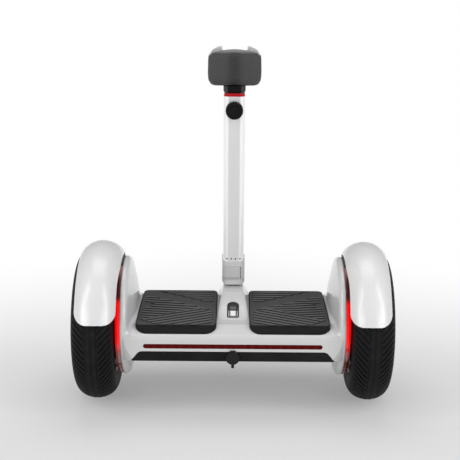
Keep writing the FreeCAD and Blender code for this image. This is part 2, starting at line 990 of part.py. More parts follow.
# Dished cover with a bearing seat, raised spokes and a closed centre on the outer side
def hub_cover(sign):
    x = wheel_x
    seat = bearing_radius + run_gap
    boss = bearing_radius + bearing_wall
    radius = drum_radius - run_gap
    flat = rim_half
    dome = rim_half + cover_dome
    inner = [
        (x + sign * (flat - bearing_width), seat, 0), (x + sign * (flat - bearing_width), boss, 0),
        (x + sign * (flat - cover_wall), boss + cover_wall, bearing_wall / 2),
        (x + sign * (flat - cover_wall), radius, 0), (x + sign * flat, radius, 0),
        (x + sign * dome, radius - over * 2, over), (x + sign * dome, cover_hub_radius, 0),
    ]
    if sign > 0:
        cap = dome + cover_wall / 2
        inner += [
            (x + cap, cover_hub_radius - cover_wall / 2, 0), (x + cap, 0, 0),
            (x + flat + run_gap, 0, 0), (x + flat + run_gap, seat, 0),
        ]
    else:
        inner += [(x - dome, seat, 0)]
    cover = turned(inner, axle_z)
    if sign > 0:
        cover = cover.cut(cover_pockets(dome))
    return cover.cut(hub_screw_holes(sign, dome))


# Shallow pockets between the spokes, each an annular sector with rounded ends
def cover_pockets(dome):
    low = drum_radius * cover_pocket_shares[0]
    high = drum_radius * cover_pocket_shares[1]
    floor = wheel_x + dome - cover_pocket_depth
    pockets = []
    for i in range(cover_spokes):
        sector = turned([
            (floor, low, 0), (floor + over, low, 0), (floor + over, high, 0), (floor, high, 0),
        ], axle_z, cover_pocket_angle)
        pockets.append(turned_about_wheel(sector, 360 / cover_spokes * i - cover_pocket_angle / 2))
    return pockets


def screw_circle():
    return drum_radius - screw_head - fit_gap


def hub_screw_places():
    places = []
    for i in range(cover_screws):
        angle = 2 * math.pi * (i + 0.5) / cover_screws
        places.append((screw_circle() * math.sin(angle), axle_z + screw_circle() * math.cos(angle)))
    return places


def hub_screw_holes(sign, dome):
    holes = []
    for y, z in hub_screw_places():
        start = wheel_x + sign * (rim_half - cover_wall - over)
        end = wheel_x + sign * (dome + over)
        seat = wheel_x + sign * rim_half
        holes.append(rod_x(screw_radius + run_gap, *span(start, end - start), y, z))
        holes.append(rod_x(screw_head + run_gap, *span(seat, end - seat), y, z))
    return holes


def hub_screws():
    screws = []
    for sign in (-1, 1):
        for y, z in hub_screw_places():
            seat = wheel_x + sign * rim_half
            head = rod_x(screw_head, *span(seat, sign * screw_head_height), y, z)
            shank = rod_x(screw_radius, *span(seat, -sign * (cover_wall + ledge_width)), y, z)
            screws.append(fused([head, shank]))
    return screws


def axle():
    end = wheel_x + rim_half - run_gap
    bar = rod_x(axle_radius, axle_inner_x, end, 0, axle_z)
    flat_end = axle_inner_x + clamp_width + run_gap
    flats = []
    for sign in (-1, 1):
        low, high = span(axle_z + sign * axle_flat, sign * axle_radius)
        flats.append(box(axle_inner_x - over, flat_end, -axle_radius, axle_radius, low, high))
    return bar.cut(flats)


def axle_clamp():
    low = axle_inner_x
    high = low + clamp_width
    body = slab(rounded_box(0, axle_z, clamp_reach, clamp_half_height, over), "yz", low, high)
    flat = axle_flat + run_gap
    hole = rod_x(axle_radius + run_gap, low - over, high + over, 0, axle_z)
    key = box(low - over, high + over, -clamp_reach, clamp_reach, axle_z - flat, axle_z + flat)
    half_slot = clamp_slot / 2
    slot = box(low - over, high + over, 0, clamp_reach + over, axle_z - half_slot, axle_z + half_slot)
    return body.cut([hole.common(key), slot])


# Frame, battery and electronics

def frame_floor():
    return deck_bottom + shell_wall + fit_gap


def chassis_frame():
    low = frame_floor()
    floor = low + frame_wall
    inner = frame_half_y - frame_wall
    profile = [
        (-frame_half_y + frame_wall, low, 0), (frame_half_y - frame_wall, low, 0),
        (frame_half_y, low + frame_wall, 0), (frame_half_y, frame_top, 0), (inner, frame_top, 0),
        (inner, floor, frame_wall), (-inner, floor, frame_wall), (-inner, frame_top, 0),
        (-frame_half_y, frame_top, 0), (-frame_half_y, low + frame_wall, 0),
    ]
    channel = slab(profile, "yz", -frame_half_x, frame_half_x)
    cheek = box(frame_half_x - frame_wall, frame_half_x, -inner, inner, floor - run_gap, frame_top)
    foot = floor - run_gap
    ledge = box(frame_half_x - frame_wall, axle_inner_x, -clamp_reach, clamp_reach, foot, frame_top)
    frame = fused([channel] + both_sides(cheek) + both_sides(ledge))
    holes = []
    for i in range(frame_slot_count):
        x = (i - (frame_slot_count - 1) / 2) * frame_half_x / 2
        half = frame_slot_width / 2
        slot = rounded_box(x, battery_centre_y, half, frame_slot_length / 2, half - run_gap)
        holes.append(slab(slot, "xy", low - over, floor + over))
    hole = rod_x(axle_radius * 1.5, frame_half_x - over * 3, frame_half_x + over, 0, axle_z)
    holes += both_sides(hole)
    return frame.cut(holes)


def battery_pack():
    low = frame_floor() + frame_wall + run_gap
    top = low + battery_height
    corners = rounded_box(0, battery_centre_y, battery_x / 2, battery_y / 2, battery_edge)
    body = slab(corners, "xy", low, top)
    rear, front = battery_centre_y - battery_y, battery_centre_y + battery_y
    grooves = []
    for i in (-1, 0, 1):
        x = i * battery_x / 4
        low_x, high_x = x - battery_groove, x + battery_groove
        grooves.append(box(low_x, high_x, rear, front, top - battery_groove, top + over))
    return body.cut(grooves)


def control_board():
    floor = frame_floor() + frame_wall
    low = floor + board_lift
    top = low + board_height
    corners = rounded_box(board_centre_x, board_centre_y, board_x / 2, board_y / 2, over / 2)
    pieces = [slab(corners, "xy", low, top)]
    for i in (-1, 1):
        for j in (-1, 1):
            x = board_centre_x + i * (board_x / 2 - over)
            y = board_centre_y + j * (board_y / 2 - over)
            pieces.append(rod_z(screw_radius, floor + run_gap, low, x, y))
    for i in range(capacitor_count):
        x = board_centre_x + (i - (capacitor_count - 1) / 2) * capacitor_radius * 3
        pieces.append(rod_z(capacitor_radius, top, top + capacitor_height, x, board_centre_y))
    return fused(pieces)


def foot_plate():
    corners = mat_corners(foot_plate_margin)
    plate = slab(corners, "xy", frame_top, frame_top + foot_plate_thickness)
    cap = box(0, frame_half_x + frame_wall * 2, -frame_half_y, frame_half_y, frame_top - over, mat_top)
    plate = plate.common(cap)
    holes = []
    for x, y in mat_post_places():
        holes.append(rod_z(mat_post_radius + fit_gap * 2, frame_top - over, mat_top, x, y))
    return plate.cut(holes)


def mat_post_places():
    places = []
    for x in (mat_inner_x + mat_post_inset, mat_outer_front_x - mat_post_inset - foot_plate_margin):
        for y in (mat_rear_y + mat_post_inset * 1.5, mat_front_y - mat_post_inset):
            places.append((x, y))
    return places


# Switch blocks under the mats' posts, joined by bars that hang from the foot plate on legs
def foot_sensors():
    top = mat_bottom - mat_post_drop - mat_travel - fit_gap
    middle = top - sensor_height / 2
    low = top - sensor_height
    places = mat_post_places()
    x_low, x_high = min(x for x, y in places), max(x for x, y in places)
    y_low, y_high = min(y for x, y in places), max(y for x, y in places)
    half = sensor_size / 2
    pieces = [box(x - half, x + half, y - half, y + half, middle, top) for x, y in places]
    for x in (x_low, x_high):
        pieces.append(box(x - sensor_bar, x + sensor_bar, y_low, y_high, low, middle))
    for y in (y_low, y_high):
        pieces.append(box(x_low, x_high, y - sensor_bar, y + sensor_bar, low, middle))
        pieces.append(rod_z(screw_radius, low, frame_top, (x_low + x_high) / 2, y))
    return fused(pieces)


# Mats

def in_mat(share_x, share_y):
    x = mat_inner_x + share_x * (mat_outer_front_x - mat_inner_x)
    y = mat_front_y + share_y * (mat_rear_y - mat_front_y)
    return x, y


def mat_fields():
    upper = [in_mat(*p) for p in band_upper_shares]
    lower = [in_mat(*p) for p in band_lower_shares]
    chevron = [in_mat(*p) for p in chevron_shares]
    near_outer = in_mat(1, 1)
    near_inner = in_mat(0, 1)
    far_inner = in_mat(0, 0)
    front_field = [upper[0], upper[1], far_inner]
    outer_field = [lower[0], lower[1], chevron[1], chevron[0]]
    inner_field = [chevron[0], chevron[1], chevron[2], near_inner, near_outer]
    return (
        (front_field, rib_slope_front), (outer_field, rib_slope_outer), (inner_field, rib_slope_inner),
    )


def polygon(points):
    return [(x, y, 0) for x, y in points]


# Raised ribs of one field: parallel bars at the field's slope, kept inside the field
def field_ribs(points, slope, low, high):
    xs = [p[0] for p in points]
    ys = [p[1] for p in points]
    centre_x = (min(xs) + max(xs)) / 2
    centre_y = (min(ys) + max(ys)) / 2
    reach = math.hypot(max(xs) - min(xs), max(ys) - min(ys))
    count = int(reach / mat_rib_pitch / 2) + 1
    bars = []
    for i in range(-count, count + 1):
        rear = centre_y + i * mat_rib_pitch - mat_rib_width / 2
        bar = box(centre_x - reach, centre_x + reach, rear, rear + mat_rib_width, low, high)
        bar.rotate(Vec(centre_x, centre_y, low), Vec(0, 0, 1), slope)
        bars.append(bar)
    field = slab(polygon(points), "xy", low, high)
    return [bar.common(field) for bar in bars]


def mat_body(plate_top):
    body = slab(mat_corners(0), "xy", mat_bottom, plate_top)
    rim = [edge for edge in body.Edges if min(vertex.Z for vertex in edge.Vertexes) > plate_top - run_gap]
    body = body.makeFillet(mat_edge, rim)
    slope = [
        (mat_rear_y - over, plate_top + over, 0), (mat_rear_y + mat_rear_slope, plate_top + over, 0),
        (mat_rear_y + mat_rear_slope, plate_top, 0), (mat_rear_y, plate_top - mat_rear_slope, 0),
        (mat_rear_y - over, plate_top - mat_rear_slope, 0),
    ]
    return body.cut(slab(slope, "yz", 0, mat_outer_rear_x + over))


# All ribs of the pattern, trimmed to the mat's margin and round the two smooth patches
def mat_ribs(low):
    inside = slab(mat_corners(mat_margin), "xy", low, mat_top)
    smooth = []
    for shares in (wedge_shares, corner_patch_shares):
        smooth.append(slab(polygon([in_mat(*share) for share in shares]), "xy", low - over, mat_top + over))
    smallest = mat_rib_width * mat_rib_width * mat_rib_height
    ribs = []
    for points, slope in mat_fields():
        for rib in field_ribs(points, slope, low, mat_top):
            if rib.Solids:
                ribs += [solid for solid in rib.common(inside).cut(smooth).Solids if solid.Volume > smallest]
    return ribs


def foot_mat():
    plate_top = mat_top - mat_rib_height
    posts = []
    for x, y in mat_post_places():
        posts.append(rod_z(mat_post_radius, mat_bottom - mat_post_drop, mat_bottom + run_gap, x, y))
    return mat_body(plate_top).fuse(mat_ribs(plate_top - run_gap) + posts).removeSplitter()


# Lights, window, button and charge socket

def rear_lens():
    corners = lens_corners(lens_half, lens_low, lens_high, lens_gap)
    return deck_solid().common(slab(corners, "xz", -deck_half_y - over, -deck_half_y + lens_depth))


def front_lens():
    corners = lens_corners(front_lens_half, front_lens_low, front_lens_high, lens_gap)
    return deck_solid().common(slab(corners, "xz", deck_half_y - lens_depth, deck_half_y + over))


# Window that follows the console's slope, a little below it
def display_window():
    prism = slab(window_corners(fit_gap / 2), "xy", deck_bottom, console_top + over)
    upper = console_solid(0, window_depth)
    lower = console_solid(0, window_depth + window_thickness)
    sheet = prism.common(upper).cut(lower)
    hole = slab(button_corners(fit_gap), "xy", deck_bottom, console_top + over)
    return sheet.cut(hole)


def power_button():
    prism = slab(button_corners(0), "xy", deck_bottom, console_top + over)
    upper = console_solid(0, window_depth - button_proud)
    lower = console_solid(0, window_depth - button_proud + button_length)
    return prism.common(upper).cut(lower)


def charge_socket():
    rear = -socket_rear
    body = socket_hole(socket_radius, rear, rear + socket_length)
    bore = socket_hole(socket_bore, rear - over, rear + socket_bore_depth)
    return body.cut(bore)


# Round rubber cap with a plug, a pull tab and a hinge barrel at its top
def charge_cap():
    rear = -deck_half_y - fit_gap
    disc = turned_y([
        (rear - cap_thickness, 0, 0), (rear - cap_thickness, cap_radius, cap_thickness / 3),
        (rear, cap_radius, 0), (rear, 0, 0),
    ], 0, socket_z)
    plug = socket_hole(cap_plug_radius, rear - run_gap, rear + cap_plug_length)
    tab = slab([
        (-cap_tab_width / 2, socket_z - cap_tab_drop, cap_tab_width / 2.1),
        (cap_tab_width / 2, socket_z - cap_tab_drop, cap_tab_width / 2.1),
        (cap_tab_width / 2, socket_z, 0), (-cap_tab_width / 2, socket_z, 0),
    ], "xz", rear - cap_thickness + run_gap, rear - cap_thickness + cap_tab_thickness)
    barrel = rod_x(cap_hinge_radius, -cap_hinge_half, cap_hinge_half, -cap_hinge_y, cap_hinge_z)
    half = cap_hinge_radius / 2
    web_low = socket_z + cap_plug_radius
    web = box(-cap_hinge_half, cap_hinge_half, -cap_hinge_y - half, -cap_hinge_y + half, web_low, cap_hinge_z)
    return fused([disc, plug, tab, web, barrel])


# Steering pivot

def steering_base():
    low = frame_floor() + frame_wall + run_gap
    front = column_y + pillar_half_y
    wall = frame_half_y - frame_wall
    rear = column_y - pillar_half_y
    lower = slab([
        (rear, low, 0), (wall - run_gap, low, frame_wall),
        (wall - run_gap, frame_top + run_gap, 0), (rear, frame_top + run_gap, 0),
    ], "yz", -pillar_half_x, pillar_half_x)
    upper = slab([
        (-pillar_half_x, frame_top, 0), (pillar_half_x, frame_top, 0),
        (pillar_half_x, pillar_top, pillar_round), (-pillar_half_x, pillar_top, pillar_round),
    ], "xz", rear, front)
    pillar = fused([lower, upper])
    slot = box(
        -pillar_half_x - over, pillar_half_x + over, rear + pillar_ear,
        front - pillar_ear, pillar_slot_low, pillar_top + over,
    )
    well = box(
        -pillar_half_x + frame_wall, pillar_half_x - frame_wall, rear + pillar_ear,
        front - pillar_ear, low + frame_wall, pillar_top + over,
    )
    hole = rod_y(pivot_pin_radius + run_gap, rear - over, front + over, 0, pivot_z)
    return pillar.cut([slot, well, hole])


def pivot_pin():
    return rod_y(pivot_pin_radius, column_y - pillar_half_y, column_y + pillar_half_y, 0, pivot_z)


def pivot_bush():
    half = pillar_half_y - pillar_ear - fit_gap
    sleeve = rod_y(pivot_bush_radius, column_y - half, column_y + half, 0, pivot_z)
    return sleeve.cut(rod_y(pivot_pin_radius + run_gap, 0, 2 * column_y, 0, pivot_z))


def steering_stem():
    half = pillar_half_y - pillar_ear - fit_gap
    low, high = column_y - half, column_y + half
    barrel = rod_y(stem_barrel_radius, low, high, 0, pivot_z)
    neck = box(-stem_half_x, stem_half_x, low, high, pivot_z, block_low)
    foot = rounded_box(0, column_y, stem_foot_radius / 2, stem_foot_radius, stem_foot_radius / 3)
    foot = slab(foot, "xy", pivot_z - stem_foot_length, pivot_z - stem_half_x)
    stem = fused([barrel, neck, foot])
    return stem.cut(rod_y(pivot_bush_radius + run_gap, low - over, high + over, 0, pivot_z))


# Folding hinge

def block_corners():
    return rounded_box(0, column_y, block_half_x, block_half_y, block_corner)


def hinge_lower():
    plate = slab(block_corners(), "xy", block_low, block_split)
    trims = []
    for sign in (-1, 1):
        trims.append(slab([
            (sign * (block_half_x + over), block_low - over, 0),
            (sign * (block_half_x - block_taper), block_low - over, 0),
            (sign * (block_half_x - block_taper), block_low, 0),
            (sign * block_half_x, block_low + block_taper_height, 0),
            (sign * (block_half_x + over), block_low + block_taper_height, 0),
        ], "xz", column_y - block_half_y - over, column_y + block_half_y + over))
    plate = plate.cut(trims)
    foot = block_split - run_gap
    waist = knuckle_radius * ear_waist_share
    ears = []
    for sign in (-1, 1):
        low, high = span(sign * ear_inner_x, sign * (block_half_x - run_gap - ear_inner_x))
        base = slab([
            (hinge_y - ear_base_rear, foot, 0), (hinge_y + ear_base_front, foot, 0),
            (hinge_y + waist, hinge_z, 0), (hinge_y - waist, hinge_z, 0),
        ], "yz", low, high)
        ears += [base, rod_x(knuckle_radius, low, high, hinge_y, hinge_z)]
    return fused([plate] + ears).cut(hinge_bore())


def hinge_bore():
    return rod_x(hinge_pin_radius + run_gap, -block_half_x - over, block_half_x + over, hinge_y, hinge_z)


# Upper half of the hinge: saddle top, tube socket with a spigot, knuckle, ear room and latch recess
def hinge_upper():
    low = block_split + block_split_gap
    rear, front = column_y - block_half_y - over, column_y + block_half_y + over
    wing = ear_inner_x - fit_gap
    swing = math.hypot(ear_base_rear, hinge_rise) + fit_gap
    body = slab(block_corners(), "xy", low, block_high)
    saddle = rod_y(block_crown_radius, rear, front, 0, block_high + block_crown_radius - block_crown_depth)
    front_low = box(-block_half_x - over, block_half_x + over, hinge_y, front, low - over, hinge_z)
    nose = rod_x(knuckle_radius, -wing, wing, hinge_y, hinge_z)
    ear_room = []
    for sign in (-1, 1):
        ear_room.append(rod_x(swing, *span(sign * wing, sign * block_half_x), hinge_y, hinge_z))
    body = body.cut([saddle, front_low]).fuse(nose).cut(ear_room)
    socket = slab(tube_corners(-run_gap), "xy", tube_low, block_high + over)
    spigot = slab(tube_corners(tube_wall + run_gap), "xy", tube_low - run_gap, spigot_high)
    body = body.cut([socket, hinge_bore(), lever_recess()]).fuse(spigot)
    return body.cut(tube_spots()).removeSplitter()


# Small round holes through the tube's rear wall, just above the block
def tube_spots():
    rear = column_y - tube_half_y
    spots = []
    for i in range(spot_count):
        x = (i - (spot_count - 1) / 2) * spot_pitch
        spots.append(rod_y(spot_radius, rear - over, rear + spot_depth, x, spot_z))
    return spots


def lever_pivot_y():
    return column_y - block_half_y + lever_thickness / 2 + run_gap


def lever_recess():
    rear = column_y - block_half_y
    left = -block_half_x
    low = lever_low - lever_slot_drop
    high = lever_high + fit_gap
    right = lever_pivot_x + recess_depth / 2 + fit_gap
    back = box(left - over, right, rear - over, rear + recess_depth, low, high)
    tab_end = rear + lever_tab_length + panel_gap
    side = box(left - over, left + recess_depth / 2, rear - over, tab_end, low, high)
    return back.fuse([side, lever_bore(low - lever_pin_sink, high + lever_pin_sink)])


def lever_bore(low, high):
    return rod_z(lever_pin_radius + run_gap, low, high, lever_pivot_x, lever_pivot_y())


# Latch plate on the rear face, wrapped round the left corner, with its pivot barrel
def cam_lever():
    rear = column_y - block_half_y + run_gap
    left = -block_half_x + run_gap
    tab = recess_depth / 2 - fit_gap
    corners = [
        (lever_pivot_x, rear, 0), (lever_pivot_x, rear + lever_thickness, 0),
        (left + tab, rear + lever_thickness, tab / 2), (left + tab, rear + lever_tab_length, tab / 3),
        (left, rear + lever_tab_length, tab / 3), (left, rear, block_corner - run_gap),
    ]
    plate = slab(corners, "xy", lever_low, lever_high)
    barrel = rod_z(lever_thickness / 2, lever_low, lever_high, lever_pivot_x, lever_pivot_y())
    return fused([plate, barrel]).cut(lever_bore(lever_low - over, lever_high + over))


def lever_pin():
    low = lever_low - lever_slot_drop - lever_pin_sink + run_gap
    high = lever_high + fit_gap + lever_pin_sink - run_gap
    return rod_z(lever_pin_radius, low, high, lever_pivot_x, lever_pivot_y())


def hinge_pin():
    half = block_half_x - hinge_pin_inset
    return rod_x(hinge_pin_radius, -half, half, hinge_y, hinge_z)


# Column

def tube_corners(inset):
    return rounded_box(0, column_y, tube_half_x - inset, tube_half_y - inset, tube_corner - inset)


def column_tube():
    tube = slab(tube_corners(0), "xy", tube_low + run_gap, tube_high)
    bore = slab(tube_corners(tube_wall), "xy", tube_low - over, tube_high + over)
    stud = rod_y(knob_stud_radius + run_gap, column_y - tube_half_y - over, column_y, 0, knob_z)
    return tube.cut([bore, stud] + tube_spots())


def post_inset():
    return tube_wall + post_gap


def column_collar():
    top = tube_high + collar_height
    ring = slab(tube_corners(collar_inset), "xy", tube_high, top)
    return ring.cut(slab(tube_corners(post_inset() - fit_gap), "xy", tube_high - over, top + over))


def inner_post():
    top = head_low
    post = slab(tube_corners(post_inset()), "xy", post_low, top)
    return post.cut(slab(tube_corners(post_inset() + post_wall), "xy", post_low - over, top + over))


# Round clamp knob with finger scallops, a raised face and the stud that presses on the post
def lock_knob():
    rear = column_y - tube_half_y
    near = rear - fit_gap
    wide = rear - knob_gap
    far = wide - knob_length
    body = turned_y([
        (near, 0, 0), (near, knob_boss_radius, 0), (wide, knob_boss_radius, 0), (wide, knob_radius, 0),
        (far, knob_radius, knob_gap), (far, knob_face_radius, 0),
        (far + knob_face_depth, knob_face_radius - knob_face_depth, 0), (far + knob_face_depth, 0, 0),
    ], 0, knob_z)
    scallops = []
    for i in range(knob_lobes):
        angle = 2 * math.pi * i / knob_lobes
        reach = knob_radius + knob_lobe_radius / 2
        x, z = reach * math.sin(angle), knob_z + reach * math.cos(angle)
        scallops.append(rod_y(knob_lobe_radius, far - over, near + over, x, z))
    stud = rod_y(knob_stud_radius, near - run_gap, rear + tube_wall + run_gap, 0, knob_z)
    return body.cut(scallops).fuse(stud)


# Head

# Flared socket under the pad with the core and the two arms that carry the crown
def head_bracket():
    low = tube_high + collar_height + fit_gap
    wires = [outline(tube_corners(collar_inset), "xy", low)]
    for level in (low + neck_rise, head_low):
        wires.append(outline(tube_corners(collar_inset - neck_flare), "xy", level))
    neck = Part.makeLoft(wires, True, True)
    arms = [arm.common(crown_room(run_gap)) for arm in head_arms(0)]
    bracket = neck.fuse([core_solid(head_low, 0)] + arms).removeSplitter()
    return bracket.cut(slab(tube_corners(post_inset() - run_gap), "xy", low - over, head_low))


def core_solid(low, grow):
    corners = rounded_box(0, head_plan_y, core_half_x + grow, core_half_y + grow, core_corner)
    return slab(corners, "xy", low, core_high + grow)


def head_arms(grow):
    return [rod_y(arm_radius + grow, head_plan_y, crown_front_y, x, arm_z) for x in (-arm_x, arm_x)]


# Outline of the knee pad from above: two lobes and a shallow valley behind, a curved front
def pad_corners(share):
    front = [
        (head_half_x, head_side_y, head_corner), (head_hip_x, head_hip_y, head_hip_radius),
        (head_front_half, head_front_y, head_front_radius),
    ]
    rear = [(head_valley_half, head_rear_y, head_corner), (head_half_x, head_rear_y, head_corner)]
    half = rear + front
    whole = [(0, head_rear_y + head_valley, head_corner)] + half + [(-x, y, r) for x, y, r in reversed(half)]
    return [(x * share, head_plan_y + (y - head_plan_y) * share, r * share) for x, y, r in whole]


# Shares of the pad's height with the size of its outline there, for its rounded edges and raised middle
pad_row_shares = (
    (0.0, 0.80), (0.04, 0.89), (0.12, 0.965), (0.24, 1.0),
    (0.76, 1.0), (0.85, 0.98), (0.89, 0.93), (0.92, 0.82), (0.95, 0.66), (0.98, 0.48), (1.0, 0.34),
)


def knee_pad():
    wires = []
    for height_share, size_share in pad_row_shares:
        level = head_low + height_share * (head_high - head_low)
        wires.append(outline(pad_corners(size_share), "xy", level))
    body = Part.makeLoft(wires, True, False)
    return body.cut([core_solid(head_low - over, run_gap)] + head_arms(run_gap))


# Radius of the crown's outer face, which runs through its two sides and its front
def crown_radius():
    rise = crown_front_y - crown_side_y
    return (crown_side_x ** 2 + rise ** 2) / (2 * rise)


def crown_room(inset):
    radius = crown_radius()
    return rod_z(radius - crown_thickness - inset, crown_low, crown_high, 0, crown_front_y - radius)


# Curved shell in front of the pad that stands above it as two horns with a notch between them
def head_crown():
    radius = crown_radius()
    outer = rod_z(radius, crown_low, crown_high, 0, crown_front_y - radius)
    shell = outer.cut(crown_room(0))
    return shell.common(slab(crown_corners(), "xz", crown_side_y, crown_front_y + over))


def crown_corners():
    half = [
        (crown_side_x, crown_low, crown_corner), (crown_side_x, crown_side_z, crown_corner),
        (crown_shoulder_x, crown_shoulder_z, crown_corner),
        (crown_notch_half + over, crown_high, crown_corner),
        (crown_notch_half, crown_high, crown_corner / 2), (crown_notch_half, crown_notch_low, crown_corner),
    ]
    return half + [(-x, z, r) for x, z, r in reversed(half)]


def pieces():
    named = {
        "upper_shell": [upper_shell()],
        "lower_cover": [lower_cover()],
        "cover_screws": cover_screw_set(),
        "chassis_frame": [chassis_frame()],
        "battery_pack": [battery_pack()],
        "control_board": [control_board()],
        "rear_light_lens": [rear_lens()],
        "front_light_lens": [front_lens()],
        "display_window": [display_window()],
        "power_button": [power_button()],
        "charge_socket": [charge_socket()],
        "charge_cap": [charge_cap()],
        "steering_base": [steering_base()],
        "steering_pin": [pivot_pin()],
        "steering_bush": [pivot_bush()],
        "steering_stem": [steering_stem()],
        "hinge_lower": [hinge_lower()],
        "hinge_upper": [hinge_upper()],
        "hinge_pin": [hinge_pin()],
        "cam_lever": [cam_lever()],
        "cam_lever_pin": [lever_pin()],
        "column_tube": [column_tube()],
        "column_collar": [column_collar()],
        "lock_knob": [lock_knob()],
        "inner_post": [inner_post()],
        "head_bracket": [head_bracket()],
        "knee_pad": [knee_pad()],
        "head_crown": [head_crown()],
        "side_plates": both_sides(side_plate()),
        "axle_clamps": both_sides(axle_clamp()),
        "foot_plates": both_sides(foot_plate()),
        "foot_sensors": both_sides(foot_sensors()),
        "fender_brackets": both_sides(fender_bracket()),
        "motor_windings": windings(),
        "light_rings": both_sides(light_ring()),
        "axles": both_sides(axle()),
        "stators": both_sides(stator()),
    }
    sided = {
        "fender": [fender()],
        "foot_mat": [foot_mat()],
        "tyre": [tyre()],
        "rim": [rim()],
        "magnets": magnets(),
        "bearings": bearings(),
        "outer_hub_cover": [hub_cover(1)],
        "inner_hub_cover": [hub_cover(-1)],
        "hub_screws": hub_screws(),
        "valve": [valve()],
    }
    for name, solids in sided.items():
        named[name + "_right"] = solids
        named[name + "_left"] = [mirrored(solid) for solid in solids]
    return named


def save(name, solids):
    shape = solids[0] if len(solids) == 1 else Part.makeCompound(solids)
    shape.exportStep("parts/" + name + ".step")


for name, solids in pieces().items():
    save(name, solids)
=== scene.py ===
import bpy
import bmesh
import math
from mathutils import Matrix, Vector
from mathutils.bvhtree import BVHTree


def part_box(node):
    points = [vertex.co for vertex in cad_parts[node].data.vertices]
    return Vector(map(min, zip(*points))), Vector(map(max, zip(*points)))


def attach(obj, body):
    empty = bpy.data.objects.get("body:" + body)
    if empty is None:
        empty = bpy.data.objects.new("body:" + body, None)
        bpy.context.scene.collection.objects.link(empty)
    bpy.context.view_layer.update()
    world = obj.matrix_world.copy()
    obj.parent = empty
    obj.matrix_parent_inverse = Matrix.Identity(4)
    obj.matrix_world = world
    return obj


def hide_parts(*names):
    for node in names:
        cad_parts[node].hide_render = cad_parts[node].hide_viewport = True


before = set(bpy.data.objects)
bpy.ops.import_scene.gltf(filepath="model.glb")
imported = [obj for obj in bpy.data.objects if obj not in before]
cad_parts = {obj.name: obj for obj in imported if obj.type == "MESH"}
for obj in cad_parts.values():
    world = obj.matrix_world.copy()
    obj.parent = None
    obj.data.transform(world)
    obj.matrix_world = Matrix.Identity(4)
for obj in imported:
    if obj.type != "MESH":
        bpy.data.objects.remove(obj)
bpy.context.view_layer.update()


# Upper shell
# One glossy pearl-white moulding: the deck's top, both dished bell ends and the console.
# It is screwed down over the steel channel, and a parting line crosses the console behind the display.

# The shell's white is set darker than the fenders' white though both are one plastic: painted shade.
shell_white_painted_shade, shell_gloss = 0.61, 0.15
seam_y, seam_half_width = -0.071, 0.0003
seam_half_length, seam_end_blur = 0.028, 0.0002
seam_foot_z, seam_foot_blur = 0.15025, 0.00025
darkening_top_z, darkening_full_z = 0.116, 0.060


class Wire:
    """One output of a finish's nodes. Arithmetic on it adds Math nodes."""

    def __init__(self, finish, socket):
        self.finish = finish
        self.socket = socket

    def math(self, operation, *others):
        values = dict(enumerate((self,) + others))
        return self.finish.node("ShaderNodeMath", {"operation": operation}, values)

    def __add__(self, other):
        return self.math("ADD", other)

    def __mul__(self, other):
        return self.math("MULTIPLY", other)

    def __sub__(self, other):
        return self.math("SUBTRACT", other)

    def __rsub__(self, other):
        return self.finish.node("ShaderNodeMath", {"operation": "SUBTRACT"}, {0: other, 1: self})

    def __abs__(self):
        return self.math("ABSOLUTE")

    __radd__ = __add__
    __rmul__ = __mul__

    def wave(self, length):
        return (self * (2 * math.pi / length)).math("SINE") * 0.5 + 0.5

    def rise(self, low, high):
        settings = {"interpolation_type": "SMOOTHSTEP"}
        return self.finish.node("ShaderNodeMapRange", settings, {0: self, 1: low, 2: high})

    def above(self, edge, blur):
        return self.rise(edge - blur, edge + blur)

    def below(self, edge, blur):
        return self.rise(edge + blur, edge - blur)

    def band(self, centre, half, soft):
        return abs(self - centre).rise(half + soft, half)


def paint(color):
    """A colour for a socket. A lone number stands for a grey, and a wire passes as it is."""
    if isinstance(color, Wire):
        return color
    if isinstance(color, tuple):
        return (*color, 1)
    return (color, color, color, 1)


class Finish:
    """A material of this object. Its constants stand on the shader's own sockets."""

    def __init__(self, name, color, roughness, **constants):
        self.material = bpy.data.materials.new(name)
        self.material.use_nodes = True
        self.tree = self.material.node_tree
        self.shader = self.tree.nodes["Principled BSDF"]
        constants.update(Base_Color=paint(color), Roughness=roughness)
        for socket, value in constants.items():
            self.shader.inputs[socket.replace("_", " ")].default_value = value

    def node(self, kind, settings={}, values={}, output=0):
        made = self.tree.nodes.new(kind)
        for name, value in settings.items():
            setattr(made, name, value)
        for name, value in values.items():
            if isinstance(value, Wire):
                self.tree.links.new(value.socket, made.inputs[name])
            else:
                made.inputs[name].default_value = value
        return Wire(self, made.outputs[output])

    def place(self, stretch=(1, 1, 1)):
        spot = self.node("ShaderNodeTexCoord", output="Object")
        return self.node("ShaderNodeMapping", {}, {"Vector": spot, "Scale": stretch})

    def axis(self, name):
        """Where a point of the piece is along X, Y or Z, in metres."""
        spot = self.node("ShaderNodeTexCoord", output="Object")
        return self.node("ShaderNodeSeparateXYZ", {}, {0: spot}, output=name)

    def cloud(self, scale, detail=2, stretch=(1, 1, 1)):
        values = {"Scale": scale, "Detail": detail, "Vector": self.place(stretch)}
        return self.node("ShaderNodeTexNoise", {}, values)

    def cells(self, scale, feature="F1"):
        values = {"Scale": scale, "Vector": self.place()}
        return self.node("ShaderNodeTexVoronoi", {"feature": feature}, values)

    def tones(self, mask, low, high):
        """One colour where the mask is 0 and another where it is 1."""
        values = {0: mask, 6: paint(low), 7: paint(high)}
        return self.node("ShaderNodeMix", {"data_type": "RGBA"}, values, output=2)

    def relief(self, height, depth, under=None):
        values = {"Height": height, "Distance": depth, "Strength": 1.0}
        if under:
            values["Normal"] = under
        return self.node("ShaderNodeBump", {}, values)

    def show(self, **wires):
        for name, wire in wires.items():
            self.tree.links.new(wire.socket, self.shader.inputs[name.replace("_", " ")])

    def dress(self, *nodes):
        for node in nodes:
            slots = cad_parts[node].data.materials
            slots.clear()
            slots.append(self.material)


